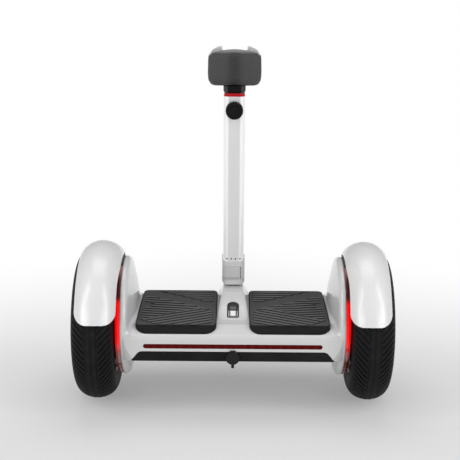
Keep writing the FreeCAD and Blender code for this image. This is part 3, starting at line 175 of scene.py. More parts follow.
def pearl_moulding(name, white, gloss, seamed=False):
    """White plastic with flake under a clear coat, darker and rougher in patches towards the bottom."""
    shell = Finish(name, white, 0.36, Coat_Weight=0.9, Coat_Roughness=gloss)
    z = shell.axis("Z")
    flake = shell.cells(2400)
    haze = shell.cloud(14, 4)
    low_darkening = z.rise(darkening_top_z, darkening_full_z) * shell.cloud(60, 5).rise(0.40, 0.70)
    color = shell.tones(haze * 0.5 + flake * 0.3, white - 0.03, white + 0.03)
    color = shell.tones(low_darkening * 0.25, color, (0.52, 0.51, 0.49))
    ripple = shell.relief(shell.cloud(55), 0.00012)
    if seamed:
        line = shell.axis("Y").band(seam_y, seam_half_width, seam_half_width)
        line = line * abs(shell.axis("X")).below(seam_half_length, seam_end_blur)
        line = line * z.above(seam_foot_z, seam_foot_blur)
        color = shell.tones(line * 0.75, color, 0.16)
        ripple = shell.relief(1 - line, 0.0006, ripple)
    shell.show(Base_Color=color, Roughness=0.32 + flake * 0.10 + low_darkening * 0.2, Normal=ripple)
    return shell


pearl_moulding("shell_pearl", shell_white_painted_shade, shell_gloss, seamed=True).dress("upper_shell")


# Lower cover
# A black grained moulding that closes the belly, with a raised boss round the charge port.
# Four plated screws with hexagon sockets hold it to the steel channel.

belly_z = 0.102
belly_screws_width, belly_screws_depth = 0.264, 0.124
belly_screw_sizes = {"radius": 0.0023, "height": 0.00195, "shank": 0.00145, "length": 0.0018}
screw_sides = 24


def black_moulding(name, tone, roughness, grain):
    """Matt black plastic with a spark-eroded grain and paler rubbed places."""
    black = Finish(name, tone, roughness, Specular_IOR_Level=0.13)
    rub = black.cloud(22, 5)
    black.show(
        Base_Color=black.tones(rub.rise(0.35, 0.75), tone * 0.75, tone * 1.5),
        Roughness=roughness - 0.10 + rub * 0.2,
        Normal=black.relief(black.cells(grain), 0.00015),
    )
    return black


black_moulding("cover_grained", 0.0085, 0.55, 1500).dress("lower_cover")


def turned_metal(name, tone, roughness, line_length, tint=1.0):
    """Bare metal with fine lines across X."""
    def share(part):
        return (tone * part, tone * part, tone * part * tint)

    metal = Finish(name, share(1), roughness, Metallic=1.0)
    streak = metal.cloud(160, 6, stretch=(0.06, 1, 1))
    lines = metal.axis("X").wave(line_length)
    metal.show(
        Base_Color=metal.tones(streak, share(0.82), share(1.12)),
        Roughness=roughness - 0.06 + streak * 0.16,
        Normal=metal.relief(lines * 0.5 + streak * 0.5, 0.00005),
    )
    return metal


plated = turned_metal("screw_plated", 0.55, 0.32, 0.0007)


def socket_screw(points, faces, way, radius, height, shank, length):
    """Adds a screw with a hexagon socket. Its seat is at zero, and the way turns and places it."""
    key, chamfer, key_floor = radius * 0.5, radius * 0.15, height * 0.35
    rows = [
        (-length, shank, False), (0, shank, False), (0, radius, False), (height - chamfer, radius, False),
        (height, radius - chamfer, False), (height, key * 1.25, False),
        (height - chamfer / 2, key, True), (key_floor, key, True),
    ]
    base, side = len(points), math.pi / 3
    for along, half, hexagon in rows:
        for i in range(screw_sides):
            angle = 2 * math.pi * i / screw_sides
            if hexagon:
                across = half / math.cos((angle + side / 2) % side - side / 2)
            else:
                across = half
            points.append(way(along, across * math.cos(angle), across * math.sin(angle)))
    for row in range(len(rows) - 1):
        for i in range(screw_sides):
            a = base + row * screw_sides + i
            b = base + row * screw_sides + (i + 1) % screw_sides
            faces.append((a, b, b + screw_sides, a + screw_sides))
    for row, along in ((0, -length), (len(rows) - 1, key_floor)):
        points.append(way(along, 0, 0))
        for i in range(screw_sides):
            a = base + row * screw_sides + i
            b = base + row * screw_sides + (i + 1) % screw_sides
            faces.append((a, b, len(points) - 1))


def closed_mesh(name, points, faces):
    """A closed mesh whose faces all point outwards."""
    mesh = bpy.data.meshes.new(name)
    mesh.from_pydata(points, [], faces)
    form = bmesh.new()
    form.from_mesh(mesh)
    bmesh.ops.remove_doubles(form, verts=form.verts, dist=0.000001)
    bmesh.ops.recalc_face_normals(form, faces=form.faces)
    form.to_mesh(mesh)
    form.free()
    return mesh


class Pattern:
    """A tree that repeats a unit and gives it its finish. Its sizes are named inputs."""

    def __init__(self, name, **inputs):
        self.tree = bpy.data.node_groups.new(name, "GeometryNodeTree")
        new_socket = self.tree.interface.new_socket
        for label, kind in inputs.items():
            new_socket(name=label, in_out="INPUT", socket_type="NodeSocket" + kind)
        new_socket(name="Pieces", in_out="OUTPUT", socket_type="NodeSocketGeometry")
        self.given = self.tree.nodes.new("NodeGroupInput").outputs

    def node(self, kind, values={}, operation=None, output=0):
        made = self.tree.nodes.new(kind)
        if operation:
            made.operation = operation
        for name, value in values.items():
            if isinstance(value, bpy.types.NodeSocket):
                self.tree.links.new(value, made.inputs[name])
            else:
                made.inputs[name].default_value = value
        return made.outputs[output]

    def object(self, name):
        """The mesh of the object that a named input holds."""
        return self.node("GeometryNodeObjectInfo", {"Object": self.given[name]}, output="Geometry")

    def finished(self, geometry, joint=None):
        """The tree, ended by real meshes with their finish. Points within the joint are merged."""
        real = self.node("GeometryNodeRealizeInstances", {"Geometry": geometry})
        if joint:
            real = self.node("GeometryNodeMergeByDistance", {"Geometry": real, "Distance": joint})
        dressed = {"Geometry": real, "Material": self.given["Finish"]}
        made = self.tree.nodes.new("NodeGroupOutput")
        self.tree.links.new(self.node("GeometryNodeSetMaterial", dressed), made.inputs[0])
        return self.tree


def four_corners():
    """A tree that sets a unit at the four corners of a rectangle."""
    pattern = Pattern(
        "four_corners", Unit="Object", Width="Float", Depth="Float", Centre="Vector", Finish="Material")
    given = pattern.given
    sides = {"Size X": given["Width"], "Size Y": given["Depth"], "Vertices X": 2, "Vertices Y": 2}
    corners = pattern.node("GeometryNodeMeshGrid", sides)
    standing = {"Points": corners, "Instance": pattern.object("Unit")}
    units = pattern.node("GeometryNodeInstanceOnPoints", standing)
    moved = {"Geometry": units, "Translation": given["Centre"]}
    return pattern.finished(pattern.node("GeometryNodeTransform", moved))


def fitted(name, mesh, body, sharp=0.5):
    """A piece of the given mesh that rides on its body, with its edges sharp from an angle."""
    mesh.shade_smooth()
    mesh.set_sharp_from_angle(angle=sharp)
    piece = bpy.data.objects.new(name, mesh)
    bpy.context.scene.collection.objects.link(piece)
    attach(piece, body)
    return piece


def grown(name, tree, body, slot, **values):
    """A piece made by a tree: a plain mesh with no modifier left on it."""
    carrier = bpy.data.objects.new(name + "_maker", bpy.data.meshes.new(name))
    bpy.context.scene.collection.objects.link(carrier)
    modifier = carrier.modifiers.new("Maker", "NODES")
    modifier.node_group = tree
    for socket in tree.interface.items_tree:
        if socket.in_out == "INPUT" and socket.name in values:
            modifier[socket.identifier] = values[socket.name]
    bpy.context.view_layer.update()
    shape = carrier.evaluated_get(bpy.context.evaluated_depsgraph_get())
    mesh = bpy.data.meshes.new_from_object(shape)
    carrier.modifiers.clear()
    bpy.data.objects.remove(carrier)
    return fitted(name, mesh, body)


def unit_of(mesh):
    """An object that a tree can repeat."""
    unit = bpy.data.objects.new(mesh.name, mesh)
    bpy.context.scene.collection.objects.link(unit)
    return unit


def head_down(along, across, aside):
    return (across, aside, -along)


screw_points, screw_faces = [], []
socket_screw(screw_points, screw_faces, head_down, **belly_screw_sizes)
belly_screw = unit_of(closed_mesh("belly_screw", screw_points, screw_faces))
belly_screws = grown(
    "belly_screws", four_corners(), "chassis", "screw_steel", Unit=belly_screw, Width=belly_screws_width,
    Depth=belly_screws_depth, Centre=(0, 0, belly_z), Finish=plated.material,
)
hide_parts("cover_screws")
bpy.data.objects.remove(belly_screw)


# Steel channel, battery and control board
# A black powder-coated channel carries everything, with the grooved battery case on its floor.
# The green board stands on four legs in front of the battery, and sheet plates lie under the mats.

board_top_z = 0.115


def powder_coat(name, tone):
    """Powder coat with an orange-peel skin and bare scuffs."""
    coat = Finish(name, (tone, tone, tone * 1.05), 0.5)
    peel = coat.cloud(700, 3)
    scuff = coat.cloud(35, 6).rise(0.62, 0.70)
    coat.show(
        Base_Color=coat.tones(scuff * 0.3, coat.tones(peel, tone * 0.9, tone * 1.2), (0.22, 0.22, 0.23)),
        Roughness=0.42 + peel * 0.18,
        Normal=coat.relief(peel, 0.00025),
    )
    return coat


powder_coat("channel_coat", 0.10).dress("chassis_frame")
powder_coat("bracket_coat", 0.045).dress("fender_brackets")

case = Finish("battery_sheet", (0.20, 0.21, 0.23), 0.45, Metallic=0.9)
case_grain = case.cloud(120, 5, stretch=(0.05, 1, 1))
case.show(
    Base_Color=case.tones(case_grain, (0.15, 0.16, 0.18), (0.26, 0.27, 0.29)),
    Roughness=0.38 + case_grain * 0.2,
    Normal=case.relief(case_grain, 0.0001),
)
case.dress("battery_pack")

board = Finish("board_mask", (0.05, 0.22, 0.10), 0.35, Coat_Weight=0.3)
tracks = board.cells(190, "DISTANCE_TO_EDGE").rise(0.02, 0.06)
board_green = board.tones(tracks, (0.09, 0.30, 0.14), (0.03, 0.17, 0.07))
board.show(
    Base_Color=board.tones(board.axis("Z").above(board_top_z, 0.0002), board_green, (0.03, 0.03, 0.035)),
    Roughness=0.32 + board.cloud(300) * 0.2,
    Normal=board.relief(tracks, 0.0001),
)
board.dress("control_board")

turned_metal("plate_sheet", 0.50, 0.38, 0.004).dress("foot_plates")
black_moulding("switch_moulding", 0.012, 0.5, 1200).dress("foot_sensors", "charge_socket")


# Axles and hub motors
# Fixed steel axles are clamped in the channel's ends, with flats so that they can't turn.
# Each carries a stack of toothed sheets with copper end turns, inside the wheel's ring of magnets.

axle_z = 0.1335
strand_pitch = math.radians(1.6)

turned_metal("axle_ground", 0.52, 0.24, 0.0005).dress("axles", "steering_pin", "hinge_pin", "cam_lever_pin")
turned_metal("stator_sheets", 0.33, 0.42, 0.0005).dress("stators")
turned_metal("magnet_plate", 0.62, 0.18, 0.003, tint=0.96).dress("magnets_left", "magnets_right")
turned_metal("bearing_ground", 0.60, 0.2, 0.0009).dress("bearings_left", "bearings_right")

copper = Finish("winding_enamel", (0.62, 0.24, 0.09), 0.3, Metallic=0.8, Coat_Weight=0.5)
strands = copper.axis("Y").math("ARCTAN2", copper.axis("Z") - axle_z).wave(strand_pitch)
# The darker lines between the strands are painted shade.
copper.show(
    Base_Color=copper.tones(strands, (0.30, 0.10, 0.035), (0.72, 0.30, 0.12)),
    Roughness=0.25 + copper.cloud(200) * 0.2,
    Normal=copper.relief(strands, 0.0006),
)
copper.dress("motor_windings")


def blasted_alloy(name, tone, roughness=0.45, metallic=0.85):
    """A casting with a fine blasted grit."""
    alloy = Finish(name, (tone, tone, tone * 1.02), roughness, Metallic=metallic)
    grit = alloy.cells(1700)
    flow = alloy.cloud(30, 5)
    alloy.show(
        Base_Color=alloy.tones(flow, tone * 0.88, tone * 1.08),
        Roughness=roughness - 0.08 + grit * 0.15 + flow * 0.06,
        Normal=alloy.relief(grit, 0.00009),
    )
    return alloy


blasted_alloy("clamp_casting", 0.45).dress("axle_clamps", "steering_base")


# Rims and hub covers
# Dark silver castings: a drum rim with turned flanges and dished covers with five shallow pockets.
# A bare turned face runs under the covers' screws, and a plated valve stands on each wheel's inner side.

hub_tone = 0.26
turned_ring_radius, turned_ring_half = 0.0700, 0.0034
boss_radius = 0.026
valve_y, valve_z = -0.02702, 0.05927
valve_bore, valve_mouth_x = 0.00135, 0.2025
thread_pitch = 0.0007


def reach(one, other):
    """How far a point is from a line, from its two distances across it."""
    return (one * one + other * other).math("SQRT")


casting = Finish("hub_cast", (hub_tone, hub_tone, hub_tone * 1.03), 0.36, Metallic=0.9)
hub_radius = reach(casting.axis("Y"), casting.axis("Z") - axle_z)
turning = hub_radius.wave(0.0009)
cast_grain = casting.cells(1300)
turned_ring = hub_radius.band(turned_ring_radius, turned_ring_half, 0.0004)
bare = turned_ring.math("MAXIMUM", hub_radius.below(boss_radius, 0.0005))
cast_color = casting.tones(casting.cloud(40, 4), hub_tone * 0.85, hub_tone * 1.1)
casting.show(
    Base_Color=casting.tones(bare, cast_color, (0.52, 0.53, 0.54)),
    Roughness=0.42 - bare * 0.16 + cast_grain * 0.1,
    Normal=casting.relief(turning * bare + cast_grain * (1 - bare), 0.00008),
)
for side in ("left", "right"):
    casting.dress("rim_" + side, "outer_hub_cover_" + side, "inner_hub_cover_" + side)

valve = Finish("valve_plate", (0.78, 0.78, 0.77), 0.25, Metallic=0.7)
valve_x = valve.axis("X")
bore = reach(valve.axis("Y") - valve_y, valve.axis("Z") - valve_z)
# Painted shade: the valve's bore is a black disc on its end.
painted_bore_shade = bore.below(valve_bore, 0.00015) * abs(valve_x).below(valve_mouth_x, 0.0005)
# The thread's roots are darker: painted shade.
thread = valve_x.wave(thread_pitch)
valve.show(
    Base_Color=valve.tones(painted_bore_shade, valve.tones(thread, (0.60, 0.60, 0.59), (0.84, 0.84, 0.83)), 0.01),
    Roughness=0.2 + valve.cloud(300) * 0.15,
    Normal=valve.relief(thread, 0.0002),
)
valve.dress("valve_left", "valve_right")


# Tyres
# Black rubber with a ribbed middle band and slanted sipes that climb both shoulders in a V.
# Each is moulded in one piece and seated between the rim's flanges.

wheel_x = 0.2363
tyre_radius = axle_z
bead_x, bead_low, bead_high = 0.0279, 0.0841, 0.08805
wall_foot, wall_widest, shoulder = (0.03135, bead_high), (0.0358, 0.105), (0.02506, 0.12541)
groove_places, groove_half, groove_cut = (-0.0095, 0, 0.0095), 0.0007, 0.0011
rim_line_low, rim_line_high, rim_line_height = 0.0945, 0.0965, 0.0006
sipe_count = 72
sipe_depth = 0.0017
sipe_start, sipe_full = 0.0105, 0.0125
sipe_fade, sipe_end, sipe_foot_radius = 0.0300, 0.0352, 0.1
sipe_lean = 0.125
sipe_columns = (0.0, 0.34, 0.42, 0.62, 0.70, 1.0)
sipe_floor = (0, 0, 1, 1, 0, 0)


def through(first, middle, last, count):
    """Points on the circle through three points, from the first to the last."""
    (ax, ay), (bx, by), (cx, cy) = first, middle, last
    d = 2 * (ax * (by - cy) + bx * (cy - ay) + cx * (ay - by))
    a, b, c = ax * ax + ay * ay, bx * bx + by * by, cx * cx + cy * cy
    ux = (a * (by - cy) + b * (cy - ay) + c * (ay - by)) / d
    uy = (a * (cx - bx) + b * (ax - cx) + c * (bx - ax)) / d
    radius = math.hypot(ax - ux, ay - uy)
    start = math.atan2(ay - uy, ax - ux)
    turn = math.atan2(cy - uy, cx - ux) - start
    turn = (turn + math.pi) % (2 * math.pi) - math.pi
    angles = [start + turn * i / count for i in range(count + 1)]
    return [(ux + radius * math.cos(angle), uy + radius * math.sin(angle)) for angle in angles]


def smooth(value, low, high):
    t = min(1, max(0, (value - low) / (high - low)))
    return t * t * (3 - 2 * t)


def tyre_rows():
    """The tyre's outer section as (across, radius, sipe share), bead to bead, in metres."""
    wall = through(wall_foot, wall_widest, shoulder, 16)
    crown = through(shoulder, (0, tyre_radius), (-shoulder[0], shoulder[1]), 30)
    far_wall = [(-across, radius) for across, radius in reversed(wall[:-1])]
    rows = [(bead_x, bead_low), (bead_x, bead_high)] + wall + crown[1:]
    rows += far_wall + [(-bead_x, bead_high), (-bead_x, bead_low)]
    cut = []
    for across, radius in rows:
        for groove in groove_places:
            if abs(across - groove) < groove_half:
                radius -= groove_cut
        share = 0
        if radius > sipe_foot_radius:
            share = smooth(abs(across), sipe_start, sipe_full) * smooth(-abs(across), -sipe_end, -sipe_fade)
        if rim_line_low < radius < rim_line_high:
            across += math.copysign(rim_line_height, across)
        cut.append((across, radius, share))
    return cut


def tyre_unit():
    """One pitch of the tyre: its section, with one sipe on each shoulder."""
    rows = tyre_rows()
    pitch = 2 * math.pi / sipe_count
    mesh = bpy.data.meshes.new("tread_unit")
    points = []
    for across, radius, share in rows:
        lean = max(0, abs(across) - sipe_start) / sipe_lean
        for place, floor in zip(sipe_columns, sipe_floor):
            angle = place * pitch + lean
            depth = radius - floor * share * sipe_depth
            points.append((across, depth * math.sin(angle), depth * math.cos(angle)))
    width = len(sipe_columns)
    faces = []
    for i in range(len(rows) - 1):
        for j in range(width - 1):
            a = i * width + j
            faces.append((a, a + 1, a + width + 1, a + width))
    mesh.from_pydata(points, [], faces)
    return mesh


def round_the_axle():
    """A tree that repeats a unit about a line along X."""
    pattern = Pattern("round_the_axle", Unit="Object", Count="Int", Centre="Vector", Finish="Material")
    given = pattern.given
    points = pattern.node("GeometryNodePoints", {"Count": given["Count"]})
    step = pattern.node("ShaderNodeMath", {0: 2 * math.pi, 1: given["Count"]}, "DIVIDE")
    angle = pattern.node("ShaderNodeMath", {0: pattern.node("GeometryNodeInputIndex"), 1: step}, "MULTIPLY")
    turned = {
        "Points": points, "Instance": pattern.object("Unit"),
        "Rotation": pattern.node("ShaderNodeCombineXYZ", {"X": angle}),
    }
    units = pattern.node("GeometryNodeInstanceOnPoints", turned)
    ring = pattern.node("GeometryNodeTransform", {"Geometry": units, "Translation": given["Centre"]})
    return pattern.finished(ring, joint=0.00002)


axle_tree = round_the_axle()

rubber = Finish("tyre_black", (0.009, 0.009, 0.0095), 0.62, Specular_IOR_Level=0.14)
from_axle = reach(rubber.axis("Y"), rubber.axis("Z") - axle_z)
across_tyre = abs(rubber.axis("X")) - wheel_x
worn = from_axle.rise(tyre_radius - 0.005, tyre_radius)
fine_lines = across_tyre.wave(0.0021) * from_axle.rise(tyre_radius - 0.0030, tyre_radius - 0.0017)
dust = rubber.cloud(90, 6).rise(0.45, 0.75) * worn
rubber_mask = worn * 0.6 + rubber.cloud(25, 4) * 0.4
rubber_color = rubber.tones(rubber_mask, (0.0035, 0.0035, 0.004), (0.0095, 0.0095, 0.010))
rubber.show(
    Base_Color=rubber.tones(dust * 0.12, rubber_color, (0.06, 0.058, 0.055)),
    Roughness=0.50 + worn * 0.14 + rubber.cloud(400) * 0.1,
    Normal=rubber.relief(fine_lines, 0.0004, rubber.relief(rubber.cells(1100), 0.00012)),
)

tread_unit = unit_of(tyre_unit())
for side, sign in (("left", -1), ("right", 1)):
    tyre = grown(
        "tread_tyre_" + side, axle_tree, "wheel_" + side, "tyre_rubber",
        Unit=tread_unit, Count=sipe_count, Centre=(sign * wheel_x, 0, axle_z), Finish=rubber.material,
    )
    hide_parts("tyre_" + side)
bpy.data.objects.remove(tread_unit)


# Hub screws
# Six plated screws with hexagon sockets in each hub cover, turned into the ledge inside the drum.
# Inner and outer covers have theirs on one circle, so a pair of screws is repeated round the axle.

hub_screw_count = 6
hub_screw_circle = 0.0711
hub_cover_seat = 0.02795
hub_screw_sizes = {"radius": 0.00255, "height": 0.002, "shank": 0.0015, "length": 0.0069}
first_turn = math.pi / 6
first_y, first_z = hub_screw_circle * math.sin(first_turn), hub_screw_circle * math.cos(first_turn)


def head_out(along, across, aside):
    return (hub_cover_seat + along, across + first_y, aside + first_z)


def head_in(along, across, aside):
    far, y, z = head_out(along, across, aside)
    return (-far, y, z)


screw_points, screw_faces = [], []
for way in (head_out, head_in):
    socket_screw(screw_points, screw_faces, way, **hub_screw_sizes)
hub_screw = unit_of(closed_mesh("hub_screw_pair", screw_points, screw_faces))
for side, sign in (("left", -1), ("right", 1)):
    ring = grown(
        "socket_screws_" + side, axle_tree, "wheel_" + side, "screw_steel",
        Unit=hub_screw, Count=hub_screw_count, Centre=(sign * wheel_x, 0, axle_z), Finish=plated.material,
    )
    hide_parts("hub_screws_" + side)
bpy.data.objects.remove(hub_screw)


# Fenders
# Pearl-white arches of the same plastic as the shell, 3 mm thick, with rounded ends.
# Each hangs on its slotted bracket, and its flanks stand a little inside the tyre's shoulders.

fender_white, fender_gloss = 0.74, 0.24
fender_middle = 0.22955
fender_narrowing = 0.073
bracket_turn, free_turn = math.radians(16), math.radians(40)
fender_sharp = 0.6


def merged_copy(node, name):
    """A copy of a CAD node's mesh with its loose triangles joined."""
    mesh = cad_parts[node].data.copy()
    mesh.name = name
    form = bmesh.new()
    form.from_mesh(mesh)
    bmesh.ops.remove_doubles(form, verts=form.verts, dist=0.00002)
    form.to_mesh(mesh)
    form.free()
    return mesh


fender_pearl = pearl_moulding("fender_pearl", fender_white, fender_gloss)
for side, sign in (("left", -1), ("right", 1)):
    arch = merged_copy("fender_" + side, "fender_skin_" + side)
    for vertex in arch.vertices:
        across = sign * vertex.co.x - fender_middle
        turn = abs(math.atan2(vertex.co.y, vertex.co.z - axle_z))
        share = 1 if across > 0 else smooth(turn, bracket_turn, free_turn)
        vertex.co.x -= sign * across * fender_narrowing * share
    arch.materials.clear()
    arch.materials.append(fender_pearl.material)
    skin = fitted(arch.name, arch, "chassis", fender_sharp)
    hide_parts("fender_" + side)


# Bell end plates and light rings
# A dark disc closes each bell end round the axle, and a red light guide rings it.
# The guide is a lamp, but its glow is kept to a band of its height as painted light from below, with painted
# shade of dark wine red above it; it is clearer at top and bottom.

ring_centre_z = 0.148
ridge_pitch = math.radians(2.2)
lit_top_z, lit_foot_z = 0.205, 0.125
clear_top_z, clear_foot_z = 0.239, 0.1225

black_moulding("plate_moulding", 0.020, 0.45, 1300).dress("side_plates")

glow = Finish(
    "ring_guide", (0.5, 0.02, 0.02), 0.22,
    Coat_Weight=0.15, Emission_Strength=1.0, Specular_IOR_Level=0.25,
)
glow_z = glow.axis("Z")
ridges = glow.axis("Y").math("ARCTAN2", glow_z - ring_centre_z).wave(ridge_pitch)
# Painted light: the glow and the bright red are kept to a band of the ring's height, with painted shade
# above.
painted_light_band = glow_z.below(lit_top_z, 0.007) * glow_z.above(lit_foot_z, 0.020)
clear_foot = glow_z.below(clear_foot_z, 0.0275) * glow.cloud(70, 3).rise(0.42, 0.60)
clear = glow_z.above(clear_top_z, 0.007).math("MAXIMUM", clear_foot)
tinted = glow.tones(painted_light_band, (0.07, 0.002, 0.004), (0.58, 0.004, 0.006))
glow.show(
    Base_Color=glow.tones(clear * 0.8, tinted, (0.62, 0.30, 0.31)),
    Emission_Color=glow.tones(painted_light_band * (0.80 + ridges * 0.20), (0.02, 0.0, 0.0), (0.80, 0.0, 0.001)),
    Roughness=0.18 + glow.cloud(120) * 0.1,
    Normal=glow.relief(ridges, 0.0003),
)
glow.dress("light_rings")


# Lights in the deck
# A long dark red lens in the rear face and a shorter clear one in front, both with fine optical ribs.
# They are snapped into slots in the upper shell.

rib_pitch, lamp_pitch = 0.0021, 0.0151


def lamp_lens(name, low, high, roughness):
    """A lens with ribs on its face and a row of lamps behind it."""
    lens = Finish(name, high, roughness, Specular_IOR_Level=0.10)
    x = lens.axis("X")
    ribs, lamps = x.wave(rib_pitch), x.wave(lamp_pitch)
    lens.show(
        Base_Color=lens.tones(ribs * 0.45 + lamps * 0.35, low, high),
        Roughness=roughness + lens.cloud(150) * 0.08,
        Normal=lens.relief(ribs, 0.0002),
    )
    return lens


lamp_lens("rear_lens_red", (0.045, 0.0, 0.0), (0.15, 0.0, 0.001), 0.22).dress("rear_light_lens")
lamp_lens("front_lens_clear", (0.55, 0.57, 0.60), (0.80, 0.82, 0.85), 0.2).dress("front_light_lens")


# Display window and power button
# A smoked window a millimetre below the console's skin, with a lit white button in it.
# An arch ahead of the button holds a painted shadow and a painted reflection; the button has a column of
# charge lamps on each side.

arch_centre_y, arch_radius, arch_foot_y = -0.0216, 0.0061, -0.0266
arch_shadow_edge_y = -0.022
plate_half_x, plate_rear_y, plate_front_y = 0.0086, -0.0472, -0.0274
window_blur = 0.0002
lamp_column_x, lamp_rear_y, lamp_step, lamps_in_column = 0.0073, -0.0425, 0.0033, 4
lamp_bar_sizes = {"half_x": 0.0006, "half_y": 0.0010, "height": 0.0003, "bevel": 0.00012}
button_y, button_rim_x, button_rim_y = -0.0371, 0.00415, 0.0056

smoke = Finish(
    "window_smoke", (0.010, 0.010, 0.011), 0.12,
    Coat_Weight=0.6, Coat_Roughness=0.03, Specular_IOR_Level=0.2,
)
smoke_x, smoke_y = smoke.axis("X"), smoke.axis("Y")
painted_arch = reach(smoke_x, smoke_y - arch_centre_y).below(arch_radius, 0.0005) * smoke_y.above(arch_foot_y, window_blur)
plate = abs(smoke_x).below(plate_half_x, window_blur) * smoke_y.above(plate_rear_y, window_blur)
plate = plate * smoke_y.below(plate_front_y, window_blur)
# Painted shadow in the arch's far part, and a grey painted reflection in its near part.
arch_reflection_and_shadow = smoke.tones(smoke_y.below(arch_shadow_edge_y, 0.005), 0.03, (0.15, 0.15, 0.155))
dark = smoke.tones(smoke.cloud(60, 3), (0.004, 0.004, 0.005), (0.010, 0.010, 0.012))
dark = smoke.tones(plate * 0.9, dark, (0.075, 0.075, 0.08))
smoke.show(Base_Color=smoke.tones(painted_arch, dark, arch_reflection_and_shadow), Roughness=0.10 + smoke.cloud(500) * 0.06)
smoke.dress("display_window")

charge_lamp = Finish("charge_lamp", 0.55, 0.3, Emission_Strength=0.25)
charge_lamp.show(
    Emission_Color=charge_lamp.tones(charge_lamp.cloud(900), 0.8, 1),
    Roughness=0.25 + charge_lamp.cloud(1200) * 0.1,
)


def on_places():
    """A tree that sets a tilted unit on every vertex of a mesh of places."""
    pattern = Pattern("on_places", Unit="Object", Places="Object", Tilt="Float", Finish="Material")
    tilted = {
        "Points": pattern.object("Places"), "Instance": pattern.object("Unit"),
        "Rotation": pattern.node("ShaderNodeCombineXYZ", {"X": pattern.given["Tilt"]}),
    }
    return pattern.finished(pattern.node("GeometryNodeInstanceOnPoints", tilted))


def bar_mesh(name, half_x, half_y, height, bevel):
    """A small bar standing on zero, with its upper edges bevelled."""
    rings = [(half_x, half_y, 0), (half_x, half_y, height - bevel), (half_x - bevel, half_y - bevel, height)]
    points = [(x * a, y * b, z) for x, y, z in rings for a, b in ((-1, -1), (1, -1), (1, 1), (-1, 1))]
    faces = [(k + i, k + (i + 1) % 4, k + 4 + (i + 1) % 4, k + 4 + i) for k in (0, 4) for i in range(4)]
    return closed_mesh(name, points, faces + [(3, 2, 1, 0), (8, 9, 10, 11)])


window_skin = BVHTree.FromObject(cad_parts["display_window"], bpy.context.evaluated_depsgraph_get())
lamp_spots = []
for column_x in (-lamp_column_x, lamp_column_x):
    for row in range(lamps_in_column):
        above_window = Vector((column_x, lamp_rear_y + row * lamp_step, 1))
        lamp_spots.append(window_skin.ray_cast(above_window, Vector((0, 0, -1)))[0])
lamp_mesh = bpy.data.meshes.new("lamp_places")
lamp_mesh.from_pydata([tuple(spot) for spot in lamp_spots], [], [])
lamp_places = unit_of(lamp_mesh)
lamp_bar = unit_of(bar_mesh("lamp_bar", **lamp_bar_sizes))
slope = lamp_spots[lamps_in_column - 1] - lamp_spots[0]
grown(
    "charge_lamps", on_places(), "chassis", "button_white",
    Unit=lamp_bar, Places=lamp_places, Tilt=math.atan2(slope.z, slope.y), Finish=charge_lamp.material,
)
bpy.data.objects.remove(lamp_places)
bpy.data.objects.remove(lamp_bar)

button = Finish("button_lamp", (0.60, 0.60, 0.61), 0.3, Emission_Strength=0.20)
rim_x = abs(button.axis("X")).above(button_rim_x, 0.00065)
rim_y = abs(button.axis("Y") - button_y).above(button_rim_y, 0.0006)
button_rim = rim_x.math("MAXIMUM", rim_y)
button.show(
    Base_Color=button.tones(button_rim, (0.62, 0.62, 0.63), (0.34, 0.34, 0.35)),
    Emission_Color=button.tones(button_rim, 1, 0.2),
    Roughness=0.25 + button.cloud(300) * 0.1,
)
button.dress("power_button")


# Charge port cap
# A soft black rubber cap with a pull tab, hinged on a barrel at its top.
# It plugs into the boss of the lower cover and keeps the socket dry.

def soft_rubber(name, tone, roughness, grain, bloom):
    """Matt rubber with a paler bloom on its skin."""
    soft = Finish(name, tone, roughness, Specular_IOR_Level=0.2)
    haze = soft.cloud(45, 5)
    soft.show(
        Base_Color=soft.tones(haze, tone * 0.8, tone * bloom),
        Roughness=roughness - 0.05 + haze * 0.12,
        Normal=soft.relief(soft.cells(grain), 0.00012),
    )
    return soft


soft_rubber("cap_soft", 0.009, 0.6, 1400, 1.6).dress("charge_cap")
soft_rubber("bush_soft", 0.035, 0.7, 900, 1.4).dress("steering_bush")


# Steering stem and folding hinge
# A grey stem stands on the pivot in the console and carries the light grey hinge block.
# The block's upper half folds forwards on a pin, and a latch plate wraps round its left corner.

blasted_alloy("stem_casting", 0.34).dress("steering_stem")
blasted_alloy("block_casting", 0.64, 0.42, 0.25).dress("hinge_lower", "hinge_upper")
blasted_alloy("latch_pressing", 0.60, 0.38, 0.3).dress("cam_lever")


# Column tube, collar, clamp knob and post
# A satin silver tube with a post sliding in it, a translucent red ring on its end and a knob behind.
# The knob's stud presses on the post to hold the knee pad's height.

tube_face_half_x = 0.010


def drawn_alloy(name, tone, roughness, metallic):
    """A drawn section with lines along it, with a painted highlight paler beside its rear face."""
    drawn = Finish(name, (tone, tone, tone * 1.01), roughness, Metallic=metallic)
    grain = drawn.cloud(420, 4, stretch=(1, 1, 0.015))
    haze = drawn.cloud(12, 3)
    # Painted highlight on the rounded corners on either side of the flat rear face.
    painted_corner_highlight = abs(drawn.axis("X")).above(tube_face_half_x, 0.0015)
    color = drawn.tones(grain * 0.6 + haze * 0.4, tone * 0.93, tone * 1.05)
    drawn.show(
        Base_Color=drawn.tones(painted_corner_highlight, color, min(tone * 1.32, 0.95)),
        Roughness=roughness - 0.05 + grain * 0.12,
        Normal=drawn.relief(grain, 0.00005),
    )
    return drawn


drawn_alloy("tube_anodised", 0.69, 0.30, 0.25).dress("column_tube")
drawn_alloy("post_anodised", 0.58, 0.30, 0.8).dress("inner_post")

collar = Finish("collar_resin", (0.42, 0.004, 0.010), 0.35, Specular_IOR_Level=0.2)
collar_mottle = collar.cloud(80, 3)
collar.show(
    Base_Color=collar.tones(collar_mottle, (0.34, 0.003, 0.008), (0.50, 0.006, 0.013)),
    Roughness=0.3 + collar_mottle * 0.12,
)
collar.dress("column_collar")
black_moulding("knob_moulding", 0.0035, 0.5, 1600).dress("lock_knob")


